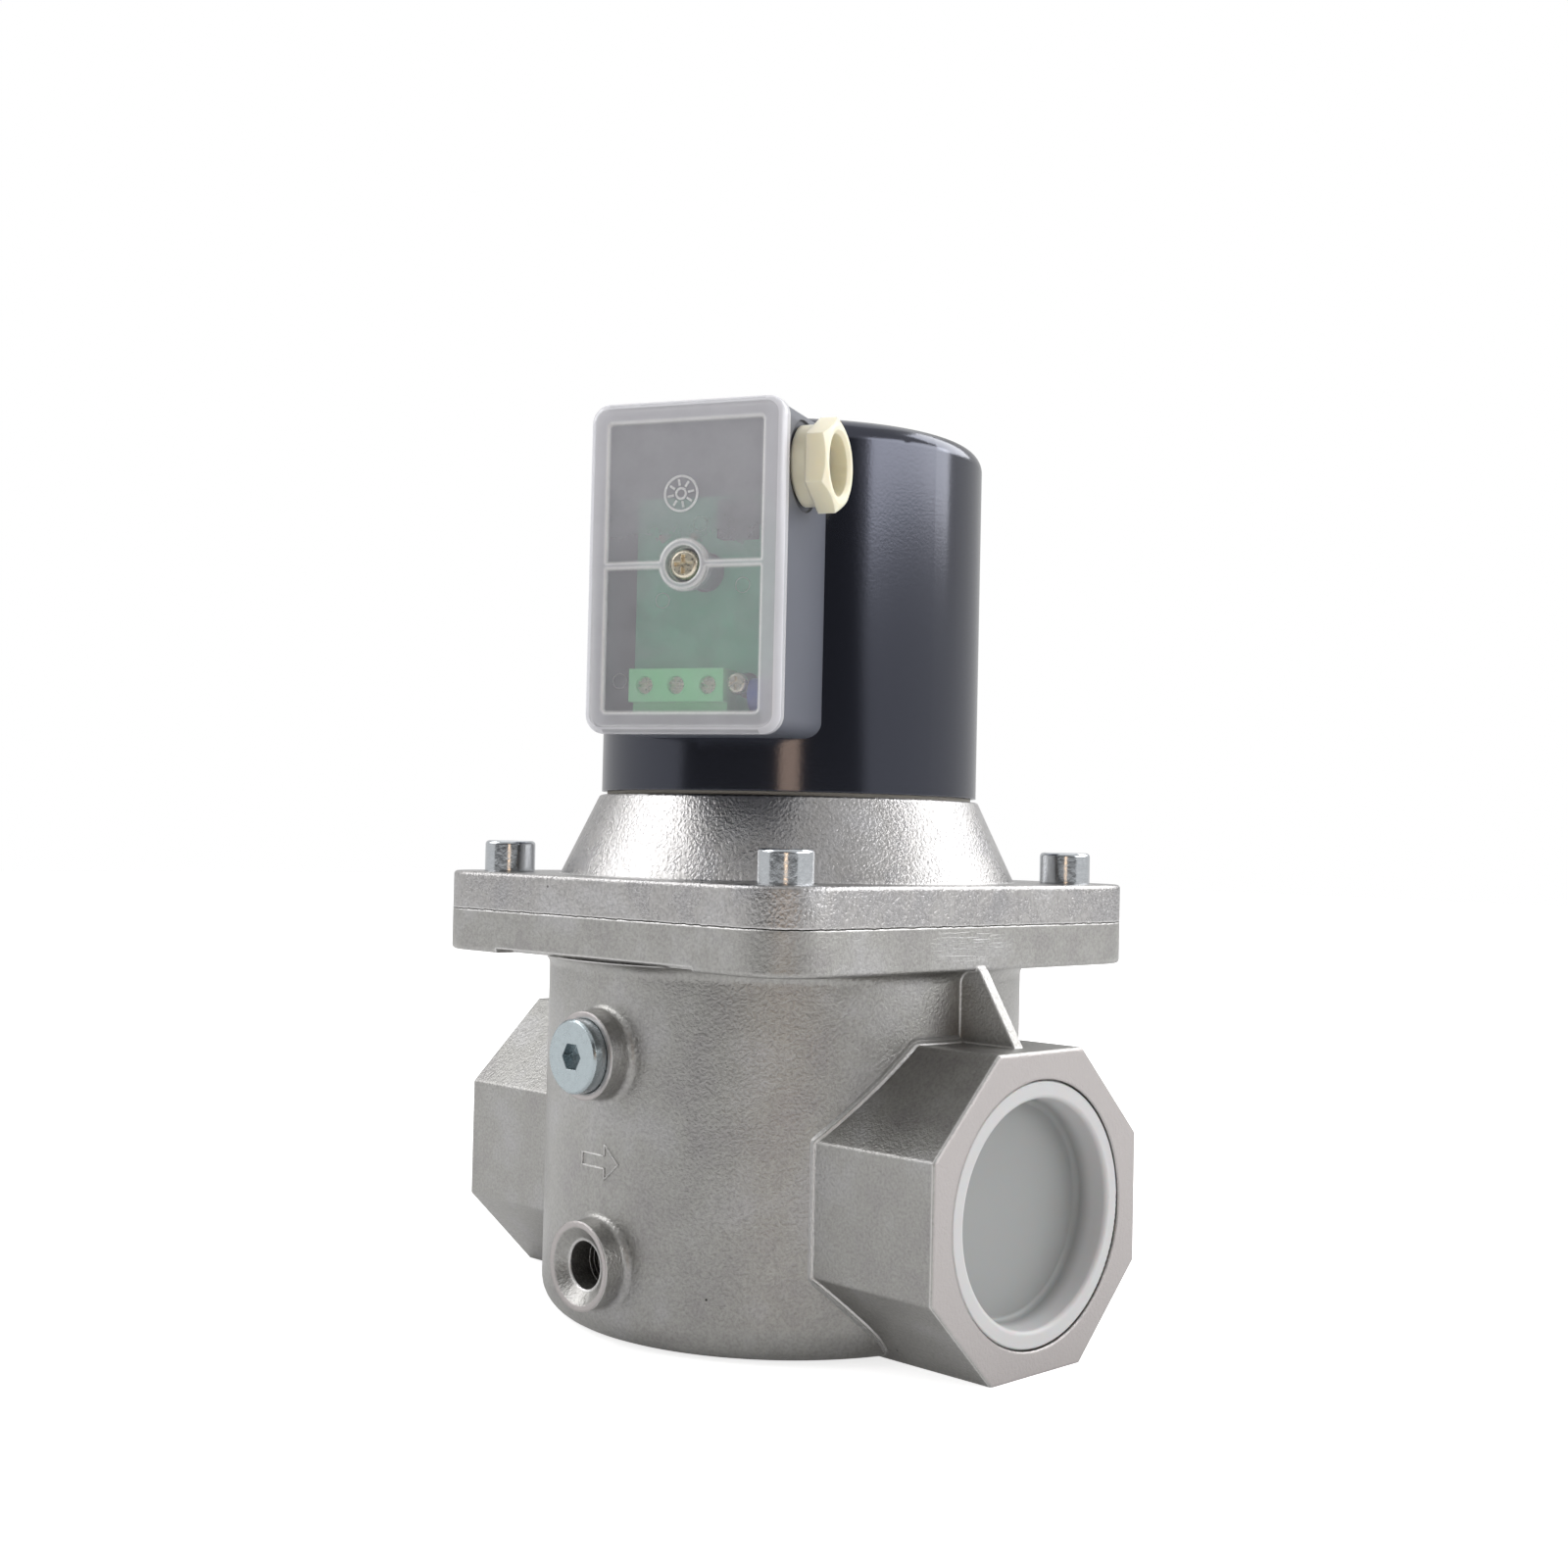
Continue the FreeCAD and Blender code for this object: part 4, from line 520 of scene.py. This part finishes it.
def makeFlowArrow():
    # Outline of an arrow towards the outlet, wrapped round the barrel
    a = flowArrow
    corners = [(a["tail"], -a["shaftHalf"]), (a["neck"], -a["shaftHalf"]), (a["neck"], -a["headHalf"]),
               (a["tip"], 0), (a["neck"], a["headHalf"]), (a["neck"], a["shaftHalf"]), (a["tail"], a["shaftHalf"])]
    points = []
    for start, end in zip(corners, corners[1:] + corners[:1]):
        for step in range(a["steps"]):
            share = step / a["steps"]
            along = start[0] + (end[0] - start[0]) * share
            up = start[1] + (end[1] - start[1]) * share
            turn = along / a["wallRadius"]
            points.append((a["wallRadius"] * math.sin(turn), -a["wallRadius"] * math.cos(turn), a["height"] + up))
    ridge("flowArrow", [(points, True)], a["bead"], "body", "valve")


lidMarks = {
    "plane": 73.38 * mm, "turn": 25.1, "bead": 0.3 * mm, "pinBead": 0.07 * mm,
    "wheel": (-0.9 * mm, 199.9 * mm), "wheelRadius": 4.0 * mm, "hubRadius": 1.2 * mm,
    "spokes": 8, "spokeFrom": 1.8 * mm, "spokeTo": 3.3 * mm, "spokeTurn": 0.25, "circleSteps": 40,
    "pins": [(-4.9 * mm, 175.5 * mm), (-15.2 * mm, 157.1 * mm), (14.7 * mm, 178.6 * mm), (4.0 * mm, 192.8 * mm)],
    "pinRadius": 1.7 * mm,
}


def makeLidMarks():
    # Marks that a mould leaves: a plain indexed wheel and the round prints of the ejector pins
    turn = math.radians(lidMarks["turn"])
    out = Vector((math.sin(turn), -math.cos(turn), 0))
    across = Vector((math.cos(turn), math.sin(turn), 0))

    def onLid(centre, radius, angle):
        u = centre[0] + radius * math.cos(angle)
        height = centre[1] + radius * math.sin(angle)
        return across * u + out * lidMarks["plane"] + Vector((0, 0, height))

    def circle(centre, radius):
        steps = lidMarks["circleSteps"]
        return [onLid(centre, radius, 2 * math.pi * step / steps) for step in range(steps)], True

    wheel = lidMarks["wheel"]
    strokes = [circle(wheel, lidMarks["wheelRadius"]), circle(wheel, lidMarks["hubRadius"])]
    for spoke in range(lidMarks["spokes"]):
        angle = 2 * math.pi * (spoke + lidMarks["spokeTurn"]) / lidMarks["spokes"]
        ends = [onLid(wheel, lidMarks["spokeFrom"], angle), onLid(wheel, lidMarks["spokeTo"], angle)]
        strokes.append((ends, False))
    ridge("lidWheel", strokes, lidMarks["bead"], "lid", "coil_group")
    prints = [circle(pin, lidMarks["pinRadius"]) for pin in lidMarks["pins"]]
    ridge("lidPinPrints", prints, lidMarks["pinBead"], "lid", "coil_group")


makeFlowArrow()
makeLidMarks()
print("marks made")


# Coves where the ports grow out of the barrel

portCove = {
    "radius": 1.7 * mm, "arcSteps": 6, "cornerSteps": 4, "sink": 0.3 * mm, "step": 1.0 * mm, "sharpAngle": 40,
    "barrel": 61.3 * mm, "baseRound": 9.0 * mm, "halfFlats": 37.5 * mm, "edgeRound": 1.0 * mm,
    "axisHeight": 36.5 * mm, "lowest": 0.3 * mm,
}


def coveCentres():
    # Where a ball of the cove's radius rolls, touching both octagon and barrel. Each row holds the ball's centre,
    # the octagon's normal and the barrel's normal.
    c = portCove
    ball, swing = c["radius"], c["radius"] + c["edgeRound"]
    cornerReach = (c["halfFlats"] - c["edgeRound"]) / math.cos(math.pi / 8)
    outline = []
    for corner in range(8):
        middle = math.radians(-67.5 - 45 * corner)  # from the right end of the lowest flat, clockwise
        y, z = cornerReach * math.cos(middle), cornerReach * math.sin(middle)
        for step in range(c["cornerSteps"] + 1):
            angle = middle + math.radians(22.5 - 45 * step / c["cornerSteps"])
            outline.append((y + swing * math.cos(angle), z + swing * math.sin(angle), angle))
    path = []
    for (y0, z0, a0), (y1, z1, a1) in zip(outline, outline[1:]):
        count = max(1, round(math.hypot(y1 - y0, z1 - z0) / c["step"]))
        for step in range(count):
            share = step / count
            path.append((y0 + (y1 - y0) * share, z0 + (z1 - z0) * share, a0 + (a1 - a0) * share))
    centres = []
    for y, z, angle in path:
        height = z + c["axisHeight"]
        if height < c["lowest"]:
            continue
        rim = c["barrel"] - c["baseRound"]
        drop = max(0, c["baseRound"] - height)
        reach = rim + math.sqrt((c["baseRound"] + ball) ** 2 - drop ** 2)
        x = math.sqrt(reach ** 2 - y ** 2)
        wall = Vector((x, y, 0)) * ((reach - rim) / reach) - Vector((0, 0, drop))
        centres.append((Vector((x, y, height)), Vector((0, math.cos(angle), math.sin(angle))), wall.normalized()))
    return centres


def makePortCoves():
    c = portCove
    vertices, faces = [], []
    rank = c["arcSteps"] + 2
    for side in (1, -1):
        first = len(vertices)
        centres = coveCentres()
        for centre, flat, wall in centres:
            spread = flat.angle(wall)
            ring = []
            for step in range(c["arcSteps"] + 1):
                share = step / c["arcSteps"]
                way = (flat * math.sin((1 - share) * spread) + wall * math.sin(share * spread)) / math.sin(spread)
                ring.append(centre - way * c["radius"])
            inward = (flat + wall) / (1 + flat.dot(wall))
            ring.append(centre - inward * c["radius"] - inward.normalized() * c["sink"])
            vertices += [(side * point.x, point.y, point.z) for point in ring]
        for row in range(len(centres) - 1):
            for step in range(rank):
                a = first + row * rank + step
                b = first + row * rank + (step + 1) % rank
                quad = (a, b, b + rank, a + rank)
                faces.append(quad if side < 0 else quad[::-1])
        ends = [tuple(range(first, first + rank)), tuple(range(len(vertices) - rank, len(vertices)))]
        faces.append(ends[0][::-1] if side < 0 else ends[0])
        faces.append(ends[1] if side < 0 else ends[1][::-1])
    mesh = bpy.data.meshes.new("portCoves")
    mesh.from_pydata(vertices, [], faces)
    finished("portCoves", mesh, "body", "valve")
    mesh.set_sharp_from_angle(angle=math.radians(c["sharpAngle"]))


makePortCoves()
print("coves made")


# Threads and spring: one tree draws a ridge or a wire that winds along an axis

springWire = {"thickness": 1.4 * mm, "turns": 5.0, "lift": 12 * mm}
springLow, springHigh = (corner[2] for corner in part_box("closing_spring"))
windings = {
    "inletThread": {
        "radius": 28.6 * mm, "pitch": 2.31 * mm, "turns": 9.0, "ridge": 0.8 * mm, "sides": 4,
        "start": (-62.0 * mm, 0, 36.5 * mm), "along": (-1, 0, 0), "finish": "body", "slot": "cast_aluminium",
    },
    "testThread": {
        "radius": 5.85 * mm, "pitch": 1.34 * mm, "turns": 4.0, "ridge": 0.2 * mm, "sides": 4,
        "start": (0, -54.0 * mm, 19.3 * mm), "along": (0, -1, 0), "finish": "body", "slot": "cast_aluminium",
    },
    "closingSpring": {
        "radius": 20.0 * mm, "pitch": (springHigh - springLow - 2 * springWire["thickness"]) / springWire["turns"],
        "turns": springWire["turns"], "ridge": springWire["thickness"], "sides": 12,
        "start": (0, 0, springLow + springWire["thickness"]), "along": (0, 0, 1),
        "finish": "stainless", "slot": "stainless_steel",
    },
}


def windingTree():
    tree = bpy.data.node_groups.new("winding", "GeometryNodeTree")
    for label, kind in (("Radius", "NodeSocketFloat"), ("Pitch", "NodeSocketFloat"), ("Turns", "NodeSocketFloat"),
                        ("Ridge", "NodeSocketFloat"), ("Sides", "NodeSocketInt"), ("Metal", "NodeSocketMaterial")):
        tree.interface.new_socket(label, in_out="INPUT", socket_type=kind)
    tree.interface.new_socket("Geometry", in_out="OUTPUT", socket_type="NodeSocketGeometry")
    given = addNode(tree, "NodeGroupInput")
    length = addNode(tree, "ShaderNodeMath", {"operation": "MULTIPLY"}, {0: (given, "Pitch"), 1: (given, "Turns")})
    winding = addNode(tree, "GeometryNodeCurveSpiral", {"Resolution": 48},
                      {"Rotations": (given, "Turns"), "Start Radius": (given, "Radius"),
                       "End Radius": (given, "Radius"), "Height": (length, 0)})
    profile = addNode(tree, "GeometryNodeCurvePrimitiveCircle", None,
                      {"Radius": (given, "Ridge"), "Resolution": (given, "Sides")})
    swept = addNode(tree, "GeometryNodeCurveToMesh", {"Fill Caps": True},
                    {"Curve": (winding, "Curve"), "Profile Curve": (profile, "Curve")})
    real = addNode(tree, "GeometryNodeRealizeInstances", None, {"Geometry": (swept, "Mesh")})
    coated = addNode(tree, "GeometryNodeSetMaterial", None,
                     {"Geometry": (real, "Geometry"), "Material": (given, "Metal")})
    addNode(tree, "NodeGroupOutput", None, {"Geometry": (coated, "Geometry")})
    return tree


def makeWindings():
    tree = windingTree()
    keys = {item.name: item.identifier for item in tree.interface.items_tree if item.in_out == "INPUT"}
    for name, size in windings.items():
        maker = bpy.data.objects.new(name + "Maker", bpy.data.meshes.new(name + "Maker"))
        bpy.context.scene.collection.objects.link(maker)
        nodes = maker.modifiers.new("winding", "NODES")
        nodes.node_group = tree
        for label in ("radius", "pitch", "turns", "ridge", "sides"):
            nodes[keys[label.capitalize()]] = size[label]
        nodes[keys["Metal"]] = finishes[size["finish"]]
        mesh = bpy.data.meshes.new_from_object(maker.evaluated_get(bpy.context.evaluated_depsgraph_get()))
        maker.modifiers.clear()
        bpy.data.objects.remove(maker)
        aim = Vector(size["along"]).to_track_quat("Z", "Y").to_matrix().to_4x4()
        mesh.transform(Matrix.Translation(Vector(size["start"])) @ aim)
        finished(name, mesh, size["finish"], "valve")


def fitSpring():
    # The wound spring stands on the disc in place of the part's own spring, which is hidden
    spring = bpy.data.objects["closingSpring"]
    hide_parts("closing_spring")
    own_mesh(spring)


makeWindings()
fitSpring()
print("windings made:", len(windings))


# Studio

studio = {
    "floorSize": 8.0, "floorColour": "#dcdcdc", "floorGlow": 0.75, "floorSheen": 0.15,
    "roomLight": 0.68, "shadeLight": 0.1, "shadeStart": 0.43, "shadeFull": 0.53,
    "shadedSide": (0.502, -0.739, -0.45), "cameraBearing": -44.8, "aimHeight": 0.13,
}
# bearing in degrees from the camera's side, counted anticlockwise from above, and rise as a slope
lamps = {
    "leftSoftbox": {"bearing": -92, "rise": 0.72, "distance": 2.0, "size": (1.5, 1.2), "power": 17.0,
                    "tint": "#ffffff"},
    "rightSoftbox": {"bearing": 118, "rise": 0.72, "distance": 2.0, "size": (1.2, 1.2), "power": 16.0,
                     "tint": "#ffffff"},
    "topSoftbox": {"bearing": 180, "rise": 2.0, "distance": 2.0, "size": (1.8, 1.8), "power": 6.0,
                   "tint": "#ffffff"},
    "rightPanel": {"bearing": 75, "rise": 0.36, "distance": 2.0, "size": (2.3, 0.55), "power": 13.5,
                   "tint": "#ffffff"},
    "doorwayStrip": {"bearing": 0, "rise": 0.05, "distance": 1.3, "size": (0.26, 0.16), "power": 0.42,
                     "tint": "#ffd9b4"},
}


def makeStage():
    half = studio["floorSize"] / 2
    mesh = bpy.data.meshes.new("floor")
    mesh.from_pydata([(-half, -half, 0), (half, -half, 0), (half, half, 0), (-half, half, 0)], [], [(0, 1, 2, 3)])
    floor = bpy.data.objects.new("floor", mesh)
    bpy.context.scene.collection.objects.link(floor)
    material, tree, shader = newMaterial("studioPaper", {"Roughness": 0.9, "Base Color": studio["floorColour"],
                                                         "Emission Color": "#ffffff"})
    path = addNode(tree, "ShaderNodeLightPath")
    seen = addNode(tree, "ShaderNodeMath", {"operation": "MAXIMUM"},
                   {0: (path, "Is Camera Ray"), 1: (path, "Is Transmission Ray")})
    sheen = addNode(tree, "ShaderNodeMath", {"operation": "MULTIPLY", 1: studio["floorSheen"]},
                    {0: (path, "Is Glossy Ray")})
    glow = addNode(tree, "ShaderNodeMath", {"operation": "MULTIPLY_ADD", 1: studio["floorGlow"]},
                   {0: (seen, 0), 2: (sheen, 0)})
    feed(tree, shader, {"Emission Strength": (glow, 0)})
    mesh.materials.append(material)


def makeRoom():
    # White paper all round, falling to a dim room on the camera's side
    world = bpy.data.worlds.new("room")
    bpy.context.scene.world = world
    world.use_nodes = True
    tree = world.node_tree
    tree.nodes.clear()
    path = addNode(tree, "ShaderNodeLightPath")
    seen = addNode(tree, "ShaderNodeMath", {"operation": "MAXIMUM"},
                   {0: (path, "Is Camera Ray"), 1: (path, "Is Transmission Ray")})
    way = addNode(tree, "ShaderNodeTexCoord")
    side = addNode(tree, "ShaderNodeVectorMath", {"operation": "DOT_PRODUCT", 1: studio["shadedSide"]},
                   {0: (way, "Generated")})
    level = addNode(tree, "ShaderNodeMapRange", {"interpolation_type": "SMOOTHSTEP",
                                                 "From Min": studio["shadeStart"], "From Max": studio["shadeFull"],
                                                 "To Min": studio["roomLight"], "To Max": studio["shadeLight"]},
                    {"Value": (side, "Value")})
    room = addNode(tree, "ShaderNodeBackground", {"Color": "#ffffff"}, {"Strength": (level, 0)})
    white = addNode(tree, "ShaderNodeBackground", {"Color": "#ffffff", "Strength": 1.0})
    mix = addNode(tree, "ShaderNodeMixShader", None, {0: (seen, 0), 1: (room, 0), 2: (white, 0)})
    addNode(tree, "ShaderNodeOutputWorld", None, {"Surface": (mix, 0)})


def makeLight(name, lamp):
    data = bpy.data.lights.new(name, "AREA")
    data.shape = "RECTANGLE"
    data.size, data.size_y = lamp["size"]
    data.energy = lamp["power"]
    data.color = hexColour(lamp["tint"])[:3]
    holder = bpy.data.objects.new(name, data)
    bpy.context.scene.collection.objects.link(holder)
    angle = math.radians(lamp["bearing"] + studio["cameraBearing"])
    target = Vector((0, 0, studio["aimHeight"]))
    way = Vector((math.cos(angle), math.sin(angle), lamp["rise"])).normalized()
    holder.location = target + way * lamp["distance"]
    holder.rotation_mode = "QUATERNION"
    holder.rotation_quaternion = (-way).to_track_quat("-Z", "Y")


view = {
    "at": Vector((0.356165, -0.353665, 0.122256)), "along": Vector((-0.71115, 0.70250, 0.02734)),
    "roll": 1.274, "lens": 43.787, "sensor": 36.0, "nearest": 0.01, "farthest": 20,
}


def makeCamera():
    data = bpy.data.cameras.new("camera")
    data.lens, data.sensor_width = view["lens"], view["sensor"]
    data.clip_start, data.clip_end = view["nearest"], view["farthest"]
    camera = bpy.data.objects.new("camera", data)
    bpy.context.scene.collection.objects.link(camera)
    camera.rotation_mode = "QUATERNION"
    level = view["along"].to_track_quat("-Z", "Y")
    camera.rotation_quaternion = level @ Matrix.Rotation(math.radians(view["roll"]), 3, "Z").to_quaternion()
    camera.location = view["at"]
    bpy.context.scene.camera = camera


makeStage()
makeRoom()
for name, lamp in lamps.items():
    makeLight(name, lamp)
makeCamera()
bpy.context.scene.view_settings.view_transform = "Standard"
print("studio ready")
